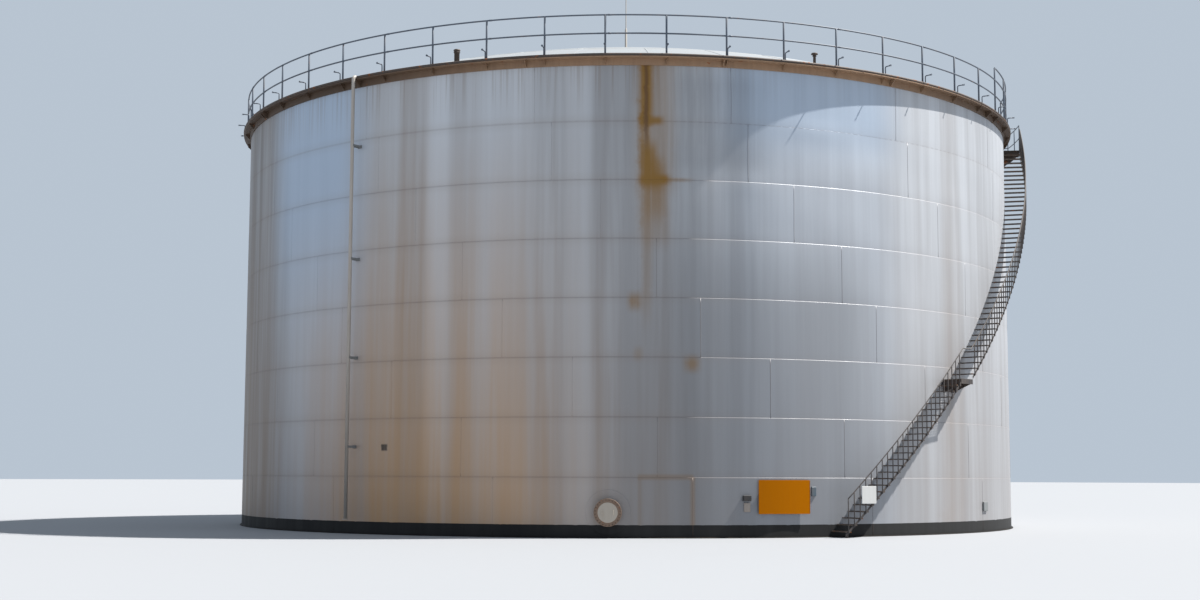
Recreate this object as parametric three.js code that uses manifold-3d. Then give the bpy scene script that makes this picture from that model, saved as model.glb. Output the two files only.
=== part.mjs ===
// Vertical storage tank: a welded steel cylinder with a dome roof, a wind girder
// with its handrail and cooling ring, a stair that winds up the side, a shell
// manhole, a riser pipe and a few boards. Millimetres, +Z up. The origin is on the
// tank's axis, on the underside of the bottom plate. Angles are measured round the
// axis from -Y towards +X, so the manhole lies at the front, close to -Y.

import * as THREE from 'three';
import { mergeVertices } from 'three/addons/utils/BufferGeometryUtils.js';
import Module from 'manifold-3d';

const wasm = await Module();
wasm.setup();

// Sizes.
const SHELL_RADIUS = 14500;
const SHELL_THICKNESS = 60;
const FACETS = 60;
const FACET_START = 1;
const COURSE_HEIGHT = 1800;
const COURSE_COUNT = 8;
const COURSE_STEP = 2;
const SHELL_TOP = 14560;
const BOTTOM_THICKNESS = 30;
const BOTTOM_RADIUS = SHELL_RADIUS + 60;

const ROOF_SPHERE_RADIUS = 38300;
const ROOF_EDGE_RADIUS = 14484;
const ROOF_THICKNESS = 40;
const ROOF_STEPS = 5;

const GIRDER_TOP = 14565;
const GIRDER_BOTTOM = 14330;
const GIRDER_RADIUS = 14760;
const GIRDER_WEB_RADIUS = 14531;
const GIRDER_PLATE = 30;

const POST_COUNT = 49;
const POST_PITCH = 360 / POST_COUNT;
const FIRST_POST = -61.256;
const RAIL_RADIUS = 14610;
const POST_SIDE = 50;
const RAIL_SIDE = 42;
const RAIL_TOP = 15900;
const MID_RAIL_TOP = 15320;
const RAISED_RAIL_TOP = 16330;
const RAISED_POSTS = 4;
const RAIL_SEGMENTS = 7;
const GATE_POST = 20;

const RING_RADIUS = 14725;
const RING_PIPE = 90;
const NOZZLE_LIFT = 335;
const NOZZLE_REACH = 250;

const RISER_ANGLE = -36.25;
const RISER_RADIUS = 14840;
const RISER_PIPE = 114;
const RISER_FOOT = 450;
const RISER_CLIPS = [2730, 5550, 8710, 12370];

const RISER_STEP = 200;
const TREAD_PITCH = 0.8084;
const TREAD_DEPTH = 240;
const TREAD_THICKNESS = 30;
const STAIR_INNER = 14530;
const STAIR_OUTER = 15250;
const STRINGER = 30;
const STRINGER_DEPTH = 90;
const LANDING_LEVEL = 5000;
const LANDING_START = 45.2;
const LANDING_END = 47.86;
const PLATFORM_LEVEL = 14400;
const PLATFORM_END = 92.8;
const GUARD_HEIGHT = 1000;
const GUARD_BAR = 25;
const GUARD_RAIL = 34;

const MANHOLE_ANGLE = -2;
const MANHOLE_LEVEL = 760;

const GAP = 0.3;

// Paints.
function paint(colour, roughness, metalness) {
  return new THREE.MeshStandardMaterial({ color: colour, roughness, metalness });
}

const ALUMINIUM_PAINT = () => paint(0xb4b8bb, 0.55, 0.25);
const ROOF_PAINT = () => paint(0xe2e5e6, 0.6, 0.1);
const RUSTY_STEEL = () => paint(0x5d4f48, 0.85, 0.1);
const RAIL_PAINT = () => paint(0x48586c, 0.6, 0.2);
const GALVANISED = () => paint(0x8d9194, 0.55, 0.4);
const BITUMEN = () => paint(0x1d1d20, 0.8, 0);
const DARK_STEEL = () => paint(0x3b3431, 0.8, 0.2);

// Closed solids.
function toSolid(geometry) {
  const bare = geometry.index ? geometry.toNonIndexed() : geometry.clone();
  for (const key of Object.keys(bare.attributes)) {
    if (key !== 'position') bare.deleteAttribute(key);
  }
  const merged = mergeVertices(bare, 0.01);
  const position = merged.attributes.position.array;
  const index = merged.index.array;
  const kept = [];
  let volume = 0;
  const a = new THREE.Vector3();
  const b = new THREE.Vector3();
  const c = new THREE.Vector3();
  for (let i = 0; i < index.length; i += 3) {
    const [p, q, r] = [index[i], index[i + 1], index[i + 2]];
    if (p === q || q === r || p === r) continue;
    kept.push(p, q, r);
    a.fromArray(position, 3 * p);
    b.fromArray(position, 3 * q);
    c.fromArray(position, 3 * r);
    volume += a.dot(b.clone().cross(c));
  }
  if (volume < 0) {
    for (let i = 0; i < kept.length; i += 3) {
      [kept[i + 1], kept[i + 2]] = [kept[i + 2], kept[i + 1]];
    }
  }
  return new wasm.Manifold(new wasm.Mesh({
    numProp: 3,
    vertProperties: new Float32Array(position),
    triVerts: new Uint32Array(kept),
  }));
}

function toGeometry(solid) {
  const mesh = solid.getMesh();
  const geometry = new THREE.BufferGeometry();
  geometry.setAttribute('position', new THREE.BufferAttribute(new Float32Array(mesh.vertProperties), 3));
  geometry.setIndex(new THREE.BufferAttribute(new Uint32Array(mesh.triVerts), 1));
  return geometry;
}

function join(geometries) {
  let solid = toSolid(geometries[0]);
  for (const geometry of geometries.slice(1)) solid = solid.add(toSolid(geometry));
  return toGeometry(solid);
}

function cut(geometry, tools) {
  let solid = toSolid(geometry);
  for (const tool of tools) solid = solid.subtract(toSolid(tool));
  return toGeometry(solid);
}

// Shapes.
const rad = THREE.MathUtils.degToRad;

function outward(angle) {
  return new THREE.Vector3(Math.sin(rad(angle)), -Math.cos(rad(angle)), 0);
}

function around(angle) {
  return new THREE.Vector3(Math.cos(rad(angle)), Math.sin(rad(angle)), 0);
}

// A ring or disc: a profile of (radius, height) points turned about the axis.
function turned(points, facets = FACETS, start = FACET_START) {
  const profile = points.map(([radius, height]) => new THREE.Vector2(radius, height));
  return new THREE.LatheGeometry(profile, facets, rad(start)).rotateX(Math.PI / 2);
}

function ring(inner, outer, bottom, top) {
  return turned([[inner, bottom], [outer, bottom], [outer, top], [inner, top], [inner, bottom]]);
}

// A box that stands at an angle round the tank.
function polarBox(angle, inner, outer, width, bottom, top) {
  const box = new THREE.BoxGeometry(outer - inner, width, top - bottom);
  const place = new THREE.Matrix4().makeBasis(outward(angle), around(angle), new THREE.Vector3(0, 0, 1));
  place.setPosition(outward(angle).multiplyScalar((inner + outer) / 2).setZ((bottom + top) / 2));
  return box.applyMatrix4(place);
}

// A plate in the radial plane: an outline of (radius, height) points with a thickness.
function radialPlate(angle, outline, thickness) {
  const shape = new THREE.Shape(outline.map(([radius, height]) => new THREE.Vector2(radius, height)));
  const plate = new THREE.ExtrudeGeometry(shape, { depth: thickness, bevelEnabled: false });
  plate.translate(0, 0, -thickness / 2);
  const place = new THREE.Matrix4().makeBasis(
    outward(angle), new THREE.Vector3(0, 0, 1), around(angle).negate());
  return plate.applyMatrix4(place);
}

// A round bar or disc that points outward from the tank.
function radialCylinder(angle, inner, outer, diameter, level, sides = 24) {
  const bar = new THREE.CylinderGeometry(diameter / 2, diameter / 2, outer - inner, sides);
  const place = new THREE.Matrix4().makeBasis(
    new THREE.Vector3(0, 0, 1), outward(angle), around(angle));
  place.setPosition(outward(angle).multiplyScalar((inner + outer) / 2).setZ(level));
  return bar.applyMatrix4(place);
}

// A rectangular bar that runs round the tank through stations of
// [angle, bottom, top], level or rising.
function bent(inner, outer, stations) {
  const corners = stations.map(([angle, bottom, top]) => [
    outward(angle).multiplyScalar(inner).setZ(bottom),
    outward(angle).multiplyScalar(outer).setZ(bottom),
    outward(angle).multiplyScalar(outer).setZ(top),
    outward(angle).multiplyScalar(inner).setZ(top),
  ]);
  const faces = [];
  const quad = (a, b, c, d) => faces.push(a, b, c, a, c, d);
  for (let i = 0; i + 1 < corners.length; i += 1) {
    const here = corners[i];
    const next = corners[i + 1];
    for (let k = 0; k < 4; k += 1) {
      const m = (k + 1) % 4;
      quad(here[k], next[k], next[m], here[m]);
    }
  }
  const first = corners[0];
  const last = corners[corners.length - 1];
  quad(first[0], first[1], first[2], first[3]);
  quad(last[3], last[2], last[1], last[0]);
  return new THREE.BufferGeometry().setFromPoints(faces);
}

// How far out a bent bar's flat side lies at an angle between its stations.
function chordRadius(angle, stations, radius) {
  let i = 0;
  while (i + 2 < stations.length && stations[i + 1] < angle) i += 1;
  const half = rad(stations[i + 1] - stations[i]) / 2;
  const fromMiddle = rad(angle - (stations[i] + stations[i + 1]) / 2);
  return radius * Math.cos(half) / Math.cos(fromMiddle);
}

function level(start, end, steps, bottom, top) {
  const stations = [];
  for (let i = 0; i <= steps; i += 1) stations.push([start + (end - start) * i / steps, bottom, top]);
  return stations;
}

function upright(angle, radius, diameter, bottom, top, sides = 12) {
  const bar = new THREE.CylinderGeometry(diameter / 2, diameter / 2, top - bottom, sides);
  bar.rotateX(Math.PI / 2);
  return bar.translate(...outward(angle).multiplyScalar(radius).setZ((bottom + top) / 2).toArray());
}

// The assembly.
const tank = new THREE.Group();

function addPart(name, geometry, material) {
  const mesh = new THREE.Mesh(geometry, material);
  mesh.name = name;
  tank.add(mesh);
  return mesh;
}

function courseRadius(course) {
  return SHELL_RADIUS - COURSE_STEP * (course - 1);
}

function courseTop(course) {
  return course === COURSE_COUNT ? SHELL_TOP : COURSE_HEIGHT * course;
}

// The outside of the shell and the bottom plate as one solid, grown by the gap:
// attached pieces are cut back with it, so that each one lies against the facets
// that carry it.
function shellEnvelope() {
  const lip = BOTTOM_THICKNESS + GAP;
  const points = [[0, -50], [BOTTOM_RADIUS + GAP, -50], [BOTTOM_RADIUS + GAP, lip]];
  let bottom = lip;
  for (let course = 1; course <= COURSE_COUNT; course += 1) {
    points.push([courseRadius(course) + GAP, bottom]);
    bottom = course === COURSE_COUNT ? GIRDER_TOP + 100 : courseTop(course);
    points.push([courseRadius(course) + GAP, bottom]);
  }
  points.push([0, bottom]);
  return turned(points);
}

const SHELL_ENVELOPE = shellEnvelope();

// Tank body.
addPart('bottom_plate', toGeometry(toSolid(turned([
  [0, 0], [BOTTOM_RADIUS, 0], [BOTTOM_RADIUS, BOTTOM_THICKNESS], [0, BOTTOM_THICKNESS],
]))), BITUMEN());

for (let course = 1; course <= COURSE_COUNT; course += 1) {
  const bottom = course === 1 ? BOTTOM_THICKNESS : courseTop(course - 1);
  const outer = courseRadius(course);
  addPart(`shell_course_${course}`,
    toGeometry(toSolid(ring(SHELL_RADIUS - SHELL_THICKNESS, outer, bottom, courseTop(course)))),
    ALUMINIUM_PAINT());
}

// The dome: a spherical sheet whose edge stands on the top course.
const SPRING = SHELL_TOP + ROOF_THICKNESS;
const SPHERE_CENTRE = SPRING - Math.sqrt(ROOF_SPHERE_RADIUS ** 2 - ROOF_EDGE_RADIUS ** 2);

function roofHeight(radius) {
  return SPHERE_CENTRE + Math.sqrt(ROOF_SPHERE_RADIUS ** 2 - radius ** 2);
}

const roofProfile = [];
for (let i = 0; i <= ROOF_STEPS; i += 1) {
  const radius = ROOF_EDGE_RADIUS * i / ROOF_STEPS;
  roofProfile.push([radius, roofHeight(radius)]);
}
const ROOF_LIP = ROOF_EDGE_RADIUS - 60;
roofProfile.push([ROOF_EDGE_RADIUS, SHELL_TOP], [ROOF_LIP, SHELL_TOP]);
for (let i = ROOF_STEPS - 1; i >= 0; i -= 1) {
  const radius = ROOF_EDGE_RADIUS * i / ROOF_STEPS;
  roofProfile.push([radius, roofHeight(radius) - ROOF_THICKNESS]);
}
addPart('dome_roof', toGeometry(toSolid(turned(roofProfile))), ROOF_PAINT());

// Wind girder.
// A deck plate round the top course over a thick web that lies against the shell.
const girderInner = courseRadius(COURSE_COUNT) + GAP;
const girderRing = turned([
  [girderInner, GIRDER_BOTTOM],
  [GIRDER_WEB_RADIUS, GIRDER_BOTTOM],
  [GIRDER_WEB_RADIUS, GIRDER_TOP - GIRDER_PLATE],
  [GIRDER_RADIUS, GIRDER_TOP - GIRDER_PLATE],
  [GIRDER_RADIUS, GIRDER_TOP],
  [girderInner, GIRDER_TOP],
  [girderInner, GIRDER_BOTTOM],
]);
addPart('wind_girder', toGeometry(toSolid(girderRing)), RUSTY_STEEL());

// The girder grown by the gap, for the pieces that lean against it.
const GIRDER_ENVELOPE = turned([
  [SHELL_RADIUS - 500, GIRDER_BOTTOM - GAP],
  [GIRDER_WEB_RADIUS + GAP, GIRDER_BOTTOM - GAP],
  [GIRDER_WEB_RADIUS + GAP, GIRDER_TOP - GIRDER_PLATE - GAP],
  [GIRDER_RADIUS + GAP, GIRDER_TOP - GIRDER_PLATE - GAP],
  [GIRDER_RADIUS + GAP, GIRDER_TOP + GAP],
  [SHELL_RADIUS - 500, GIRDER_TOP + GAP],
  [SHELL_RADIUS - 500, GIRDER_BOTTOM - GAP],
]);

// Rim handrail.
// Posts on the girder deck with a top rail and a middle rail, in segments that
// meet at a post. The gate to the stair platform stays open, and the last posts
// before it carry a third, raised rail.
for (let segment = 0; segment < RAIL_SEGMENTS; segment += 1) {
  const perSegment = POST_COUNT / RAIL_SEGMENTS;
  const start = GATE_POST + 1 + segment * perSegment;
  const isLast = segment === RAIL_SEGMENTS - 1;
  const bars = [];
  const firstRaised = isLast ? perSegment - RAISED_POSTS : perSegment;
  for (let i = 0; i < perSegment; i += 1) {
    const angle = FIRST_POST + POST_PITCH * (start + i);
    const rail = i < firstRaised ? RAIL_TOP : RAISED_RAIL_TOP;
    bars.push(polarBox(angle, RAIL_RADIUS - POST_SIDE / 2, RAIL_RADIUS + POST_SIDE / 2, POST_SIDE,
      GIRDER_TOP + GAP, rail - RAIL_SIDE + 8));
  }
  const spans = isLast ? perSegment - 1 : perSegment;
  const endGap = THREE.MathUtils.radToDeg((POST_SIDE / 2 + GAP) / RAIL_RADIUS);
  for (const top of isLast ? [RAIL_TOP, MID_RAIL_TOP, RAISED_RAIL_TOP] : [RAIL_TOP, MID_RAIL_TOP]) {
    const stations = [];
    for (let i = top === RAISED_RAIL_TOP ? firstRaised : 0; i <= spans; i += 1) {
      let angle = FIRST_POST + POST_PITCH * (start + i);
      if (i === spans && !isLast) angle -= endGap;
      stations.push([angle, top - RAIL_SIDE, top]);
    }
    bars.push(bent(RAIL_RADIUS - RAIL_SIDE / 2, RAIL_RADIUS + RAIL_SIDE / 2, stations));
  }
  addPart(`rim_handrail_${segment + 1}`, join(bars), RAIL_PAINT());
}

// Cooling ring.
// A water pipe on the deck's outer edge, with a spray arm beside each post.
const ringPipe = [];
for (let i = 0; i <= 6; i += 1) {
  const turn = Math.PI / 3 * i + Math.PI / 6;
  ringPipe.push([
    RING_RADIUS + RING_PIPE / 2 * Math.cos(turn),
    GIRDER_TOP + GAP + RING_PIPE / 2 + RING_PIPE / 2 * Math.sin(turn),
  ]);
}
const sprayArms = [];
for (let i = 0; i < POST_COUNT; i += 1) {
  if (i === GATE_POST || i === GATE_POST + 1) continue;
  const low = GIRDER_TOP + RING_PIPE / 2;
  const arm = GIRDER_TOP + NOZZLE_LIFT;
  sprayArms.push(radialPlate(FIRST_POST + POST_PITCH * i, [
    [RING_RADIUS - 18, low],
    [RING_RADIUS + 18, low],
    [RING_RADIUS + 18, arm - 55],
    [RING_RADIUS + NOZZLE_REACH, arm - 55],
    [RING_RADIUS + NOZZLE_REACH, arm],
    [RING_RADIUS - 18, arm],
  ], 36));
}
addPart('cooling_ring', join([turned(ringPipe, POST_COUNT, FIRST_POST), ...sprayArms]), DARK_STEEL());

// Riser pipe.
// The pipe that feeds the ring stands off the shell on clips and passes outside
// the girder; a short elbow at its top meets the ring.
const riserTop = GIRDER_TOP + GAP + RING_PIPE / 2;
const riserPieces = [
  upright(RISER_ANGLE, RISER_RADIUS, RISER_PIPE, RISER_FOOT, riserTop + RISER_PIPE / 2, 12),
  upright(RISER_ANGLE, RISER_RADIUS, RISER_PIPE * 1.9, RISER_FOOT, RISER_FOOT + 30, 16),
  radialCylinder(RISER_ANGLE, RING_RADIUS + RING_PIPE / 2 * 0.9, RISER_RADIUS, 70, riserTop, 12),
];
for (const clip of RISER_CLIPS) {
  riserPieces.push(polarBox(RISER_ANGLE, SHELL_RADIUS - 100, RISER_RADIUS + 20, 120, clip - 35, clip + 35));
}
const ringTool = turned(ringPipe.map(([radius, height]) => [
  radius + GAP * 1.2 * Math.sign(radius - RING_RADIUS), height,
]), POST_COUNT, FIRST_POST);
addPart('riser_pipe', cut(join(riserPieces), [SHELL_ENVELOPE, ringTool]), GALVANISED());

// Stair.
// Treads that stand out from the shell and end on a shallow stringer, which winds
// up with them just under their top faces.
function treadTop(step) {
  return RISER_STEP * step;
}

function stringerSteps(firstStep, lastStep) {
  const spans = Math.round((lastStep - firstStep + 0.9) / 4);
  const steps = [];
  for (let i = 0; i <= spans; i += 1) {
    steps.push(firstStep - 0.45 + (lastStep - firstStep + 0.89) * i / spans);
  }
  return steps;
}

function flight(firstStep, lastStep, angleOf) {
  const pieces = [];
  for (let step = firstStep; step <= lastStep; step += 1) {
    pieces.push(polarBox(angleOf(step), SHELL_RADIUS - 60, STAIR_OUTER - STRINGER / 2, TREAD_DEPTH,
      treadTop(step) - TREAD_THICKNESS, treadTop(step)));
  }
  pieces.push(bent(STAIR_OUTER - STRINGER, STAIR_OUTER, stringerSteps(firstStep, lastStep).map((step) => (
    [angleOf(step), treadTop(step) + 5 - STRINGER_DEPTH, treadTop(step) + 5]))));
  if (firstStep === 1) {
    pieces.push(polarBox(angleOf(1), STAIR_OUTER - STRINGER - 20, STAIR_OUTER - 3, 60, 0, treadTop(1) - 10));
  }
  return cut(join(pieces), [SHELL_ENVELOPE, GIRDER_ENVELOPE]);
}

const lowerSteps = LANDING_LEVEL / RISER_STEP;
const platformSteps = PLATFORM_LEVEL / RISER_STEP;
const lowerAngle = (step) => LANDING_START - TREAD_PITCH * (lowerSteps - 0.5 - step);
const upperAngle = (step) => LANDING_END + TREAD_PITCH * (step - lowerSteps - 0.5);
const PLATFORM_START = upperAngle(platformSteps - 1) + TREAD_PITCH / 2;

addPart('stair_lower_flight', flight(1, lowerSteps - 1, lowerAngle), GALVANISED());
addPart('stair_upper_flight', flight(lowerSteps + 1, platformSteps - 1, upperAngle), GALVANISED());

// A small landing between the flights and the platform at the top, each on two
// brackets. A beam closes the side where the flight arrives.
function deckWithBrackets(start, end, top, beam, brackets, drop) {
  const pieces = [
    bent(STAIR_INNER, STAIR_OUTER, level(start + 0.03, end - 0.03, 3, top - 40, top)),
    bent(STAIR_OUTER - STRINGER, STAIR_OUTER, level(start + 0.03, end - 0.03, 3, top - 160, top)),
    polarBox(start + 0.22, STAIR_INNER, STAIR_OUTER - STRINGER / 2, STRINGER, top - beam, top - 10),
  ];
  for (const angle of brackets) {
    pieces.push(radialPlate(angle, [
      [SHELL_RADIUS - 60, top - drop],
      [SHELL_RADIUS + 70, top - drop],
      [STAIR_OUTER - 20, top - 140],
      [STAIR_OUTER - 20, top - 20],
      [SHELL_RADIUS - 60, top - 20],
    ], 20));
  }
  return cut(join(pieces), [SHELL_ENVELOPE, GIRDER_ENVELOPE]);
}

addPart('stair_landing', deckWithBrackets(LANDING_START, LANDING_END, LANDING_LEVEL, 160,
  [LANDING_START + 0.35, LANDING_END - 0.35], 420), GALVANISED());
addPart('stair_platform', deckWithBrackets(PLATFORM_START, PLATFORM_END, PLATFORM_LEVEL, 270,
  [PLATFORM_START + 0.6, PLATFORM_END - 0.6], 700), DARK_STEEL());

// Guard along the outer stringer: a bar at each tread under a handrail. Each bar
// lies against the stringer's flat side.
function guard(steps, angleOf, railTopOf, extra) {
  const inner = STAIR_OUTER + GAP;
  const stringer = stringerSteps(steps[0], steps[steps.length - 1]).map(angleOf);
  const bars = steps.map((step) => polarBox(angleOf(step),
    chordRadius(angleOf(step), stringer, STAIR_OUTER) + 2 * GAP, inner + GUARD_BAR, GUARD_BAR - 4,
    treadTop(step) - 80, railTopOf(step) - 20));
  const rail = steps.filter((step, i) => i % 4 === 0 || i === steps.length - 1)
    .map((step) => [angleOf(step), railTopOf(step) - 40, railTopOf(step)]);
  bars.push(bent(inner, inner + GUARD_RAIL, extra(rail)));
  return join(bars);
}

const stepsBetween = (first, last) => Array.from({ length: last - first + 1 }, (_, i) => first + i);
const railOver = (step) => treadTop(step) + GUARD_HEIGHT;
const railOverLanding = (angle) => [angle, railOver(lowerSteps) - 40, railOver(lowerSteps)];
const landingMiddle = (LANDING_START + LANDING_END) / 2;
addPart('stair_guard_lower', guard(stepsBetween(1, lowerSteps - 1), lowerAngle, railOver,
  (rail) => [...rail, railOverLanding(LANDING_START + 0.6), railOverLanding(landingMiddle - 0.01)]),
RAIL_PAINT());
addPart('stair_guard_upper', guard(stepsBetween(lowerSteps + 1, platformSteps - 1), upperAngle, railOver,
  (rail) => [railOverLanding(landingMiddle + 0.01), railOverLanding(LANDING_END - 0.4), ...rail]),
RAIL_PAINT());

// Guard round the platform: posts, a top rail and a middle rail, and an end rail
// that runs back to the tank.
const platformRail = PLATFORM_LEVEL + GUARD_HEIGHT;
const platformPieces = [];
const platformPosts = [PLATFORM_START + 0.25, (PLATFORM_START + PLATFORM_END) / 2, PLATFORM_END - 0.15];
const endRailStart = GIRDER_RADIUS + 30;
for (const angle of platformPosts) {
  platformPieces.push(polarBox(angle, STAIR_OUTER + GAP, STAIR_OUTER + GAP + 40, 40,
    PLATFORM_LEVEL - 130, platformRail - 10));
}
for (const top of [platformRail, PLATFORM_LEVEL + GUARD_HEIGHT / 2]) {
  platformPieces.push(bent(STAIR_OUTER + GAP + 3, STAIR_OUTER + GAP + 37,
    level(PLATFORM_START + 0.25, PLATFORM_END - 0.15, 4, top - 38, top)));
  platformPieces.push(polarBox(PLATFORM_END - 0.15, endRailStart, STAIR_OUTER + 20, 34, top - 36, top - 2));
}
platformPieces.push(polarBox(PLATFORM_END - 0.15, endRailStart, endRailStart + 40, 40,
  PLATFORM_LEVEL + GAP, platformRail - 10));
addPart('platform_guard', join(platformPieces), RAIL_PAINT());

// Manhole.
addPart('manhole_plate', cut(
  radialCylinder(MANHOLE_ANGLE, SHELL_RADIUS - 100, SHELL_RADIUS + 16, 1350, MANHOLE_LEVEL, 32),
  [SHELL_ENVELOPE, radialCylinder(MANHOLE_ANGLE, SHELL_RADIUS - 200, SHELL_RADIUS + 200, 610 + 2 * GAP,
    MANHOLE_LEVEL, 24)]), ALUMINIUM_PAINT());
addPart('manhole_neck', cut(join([
  radialCylinder(MANHOLE_ANGLE, SHELL_RADIUS - 100, SHELL_RADIUS + 230, 608, MANHOLE_LEVEL, 24),
  radialCylinder(MANHOLE_ANGLE, SHELL_RADIUS + 210, SHELL_RADIUS + 235, 832, MANHOLE_LEVEL, 32),
]), [SHELL_ENVELOPE]), DARK_STEEL());
addPart('manhole_cover', toGeometry(toSolid(
  radialCylinder(MANHOLE_ANGLE, SHELL_RADIUS + 235 + GAP, SHELL_RADIUS + 265, 832, MANHOLE_LEVEL, 32))),
ALUMINIUM_PAINT());

// Roof fittings.
const ROOF_ENVELOPE = turned([
  [0, SHELL_TOP - 200],
  ...roofProfile.slice(0, ROOF_STEPS + 1).reverse().map(([radius, height]) => [radius, height + GAP]),
].map(([radius, height], i) => (i === 1 ? [radius + GAP, height] : [radius, height]))
  .flatMap((point, i) => (i === 1 ? [[point[0], SHELL_TOP - 200], point] : [point])));

function roofStub(angle, radius, diameter, height, capDiameter) {
  const base = roofHeight(radius);
  return cut(join([
    upright(angle, radius, diameter, base - 300, base + height, 12),
    upright(angle, radius, capDiameter, base + height - 60, base + height, 12),
  ]), [ROOF_ENVELOPE]);
}

addPart('gauge_hatch', roofStub(-23, 13750, 180, 440, 220), GALVANISED());
addPart('roof_vent', roofStub(25.9, 13750, 90, 390, 220), GALVANISED());
const rodBase = roofHeight(0);
addPart('lightning_rod', cut(join([
  upright(0, 0, 400, rodBase - 100, rodBase + 40, 12),
  upright(0, 0, 90, rodBase, rodBase + 2200, 8),
  upright(0, 0, 45, rodBase + 2100, rodBase + 4000, 8),
]), [ROOF_ENVELOPE]), GALVANISED());

// Boards and boxes.
// Flat boards that stand off the curved shell on two rails each.
function board(angle, width, bottom, top, face, thickness, railWidth) {
  const half = THREE.MathUtils.radToDeg(width * 0.36 / face);
  const pieces = [polarBox(angle, face - thickness, face, width, bottom, top)];
  for (const side of [-half, half]) {
    const middle = (bottom + top) / 2;
    const reach = (top - bottom) * 0.4;
    pieces.push(polarBox(angle + side, SHELL_RADIUS - 60, face - thickness / 2, railWidth,
      middle - reach, middle + reach));
  }
  return cut(join(pieces), [SHELL_ENVELOPE]);
}

addPart('orange_board', board(19.3, 1700, 715, 1735, SHELL_RADIUS + 70, 30, 50), paint(0xd9622b, 0.6, 0));
addPart('junction_box', cut(polarBox(14.55, SHELL_RADIUS - 60, SHELL_RADIUS + 120, 250, 1100, 1270),
  [SHELL_ENVELOPE]), paint(0x26282c, 0.6, 0.1));
addPart('box_tag', cut(polarBox(14.6, SHELL_RADIUS - 60, SHELL_RADIUS + 40, 200, 780, 1050),
  [SHELL_ENVELOPE]), paint(0x8a6a4f, 0.7, 0));
addPart('small_plate', cut(polarBox(23.3, SHELL_RADIUS - 60, SHELL_RADIUS + 40, 150, 1250, 1530),
  [SHELL_ENVELOPE]), paint(0x6f8796, 0.6, 0.1));
addPart('side_plate', cut(polarBox(56.6, SHELL_RADIUS - 60, SHELL_RADIUS + 60, 360, 700, 1010),
  [SHELL_ENVELOPE]), paint(0x7c8184, 0.6, 0.1));

// The notice hangs flat on two of the guard's bars, under the handrail.
const noticeAngle = lowerAngle(4.5);
const noticeBack = STAIR_OUTER + GAP + GUARD_BAR;
addPart('stair_notice', polarBox(noticeAngle, noticeBack, noticeBack + 20, 540, 1030, 1555),
  paint(0xf0f1ee, 0.5, 0));

export default tank;
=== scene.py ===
"""Looks of a vertical storage tank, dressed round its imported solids.

Metres, +Z up, the tank's axis on Z. Angles run round the tank in degrees from -Y
towards +X, so that a point at an angle lies at (r sin(angle), -r cos(angle), z).
"""

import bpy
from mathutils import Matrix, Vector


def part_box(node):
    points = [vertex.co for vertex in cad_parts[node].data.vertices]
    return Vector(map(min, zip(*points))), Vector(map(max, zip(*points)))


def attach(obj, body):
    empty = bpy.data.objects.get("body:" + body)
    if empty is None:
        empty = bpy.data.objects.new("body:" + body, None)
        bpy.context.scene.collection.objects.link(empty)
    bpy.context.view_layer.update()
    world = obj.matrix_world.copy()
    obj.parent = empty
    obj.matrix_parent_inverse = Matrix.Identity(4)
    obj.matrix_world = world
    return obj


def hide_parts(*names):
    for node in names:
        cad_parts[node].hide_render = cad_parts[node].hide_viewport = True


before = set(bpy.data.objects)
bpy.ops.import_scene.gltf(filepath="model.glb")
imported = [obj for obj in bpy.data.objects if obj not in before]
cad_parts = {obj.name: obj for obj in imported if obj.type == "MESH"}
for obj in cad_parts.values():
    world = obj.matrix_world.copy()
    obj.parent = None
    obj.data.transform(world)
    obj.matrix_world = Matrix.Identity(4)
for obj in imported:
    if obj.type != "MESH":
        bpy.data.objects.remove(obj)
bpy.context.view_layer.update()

import math

import bpy
import numpy as np
from bpy.props import FloatProperty, FloatVectorProperty, IntProperty, PointerProperty
from mathutils import Matrix, Vector

bl_info = {
    "name": "Storage tank looks",
    "version": (1, 0, 0),
    "blender": (4, 5, 0),
    "location": "View3D > Sidebar > Tank",
    "description": "Surfaces and finishes of a vertical storage tank",
    "category": "Object",
}

UP = (0, 0, 1)
# Places that the solids settle: levels and radii in metres, angles in degrees.
RIM_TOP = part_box("wind_girder")[1].z
RIM_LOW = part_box("wind_girder")[0].z
RAIL_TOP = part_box("rim_handrail_2")[1].z
RAISED_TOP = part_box("rim_handrail_7")[1].z
MID_RAIL = 15.298
SPRAY_LEVEL = RIM_TOP + 0.3075
POSTS = 49
POST_PITCH = 360 / POSTS
POST_ANGLES = -61.256 + POST_PITCH * np.arange(POSTS)
GATE = (20, 21)
RAISED = np.arange(17, 21)
POST_RADIUS = 14.61
RING_RADIUS = 14.725
RISER_ANGLE = -36.25
RISER_RADIUS = 14.84
RISER_CLIPS = (2.73, 5.55, 8.71, 12.37)
LOWER_STEPS = np.arange(1, 25)
UPPER_STEPS = np.arange(26, 72)
STEP_PITCH = 0.8084
# Start angle, end angle and level.
LANDING = (45.2, 47.86, 5)
PLATFORM = (85.05, 92.8, 14.4)
STAIR_INNER, STAIR_OUTER = 14.53, 15.25
MANHOLE_ANGLE, MANHOLE_LEVEL = -2, 0.76
BOARD_ANGLE = 19.3
NOTICE_STEP = 4.5
# Angle of the first upright weld of each course, and the welds' pitch and number.
FIRST_WELDS = (8, 3.8, 17.7, 9, 3.7, 21, 15, 12.85)
WELD_PITCH, WELDS = 24, 15
SHELL_WALL = 0.06
BOTTOM_PLATE = 0.03
# The welds of the courses above this one have no step and are finer.
LAST_STEPPED = 6
COURSE_STEP = 0.002
HALF_COURSE = 0.9


def linear(code):
    """The linear colour of a six-digit screen colour."""
    parts = [int(code[i:i + 2], 16) / 255 for i in (0, 2, 4)]
    return tuple(c / 12.92 if c <= 0.04045 else ((c + 0.055) / 1.055) ** 2.4 for c in parts)


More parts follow.
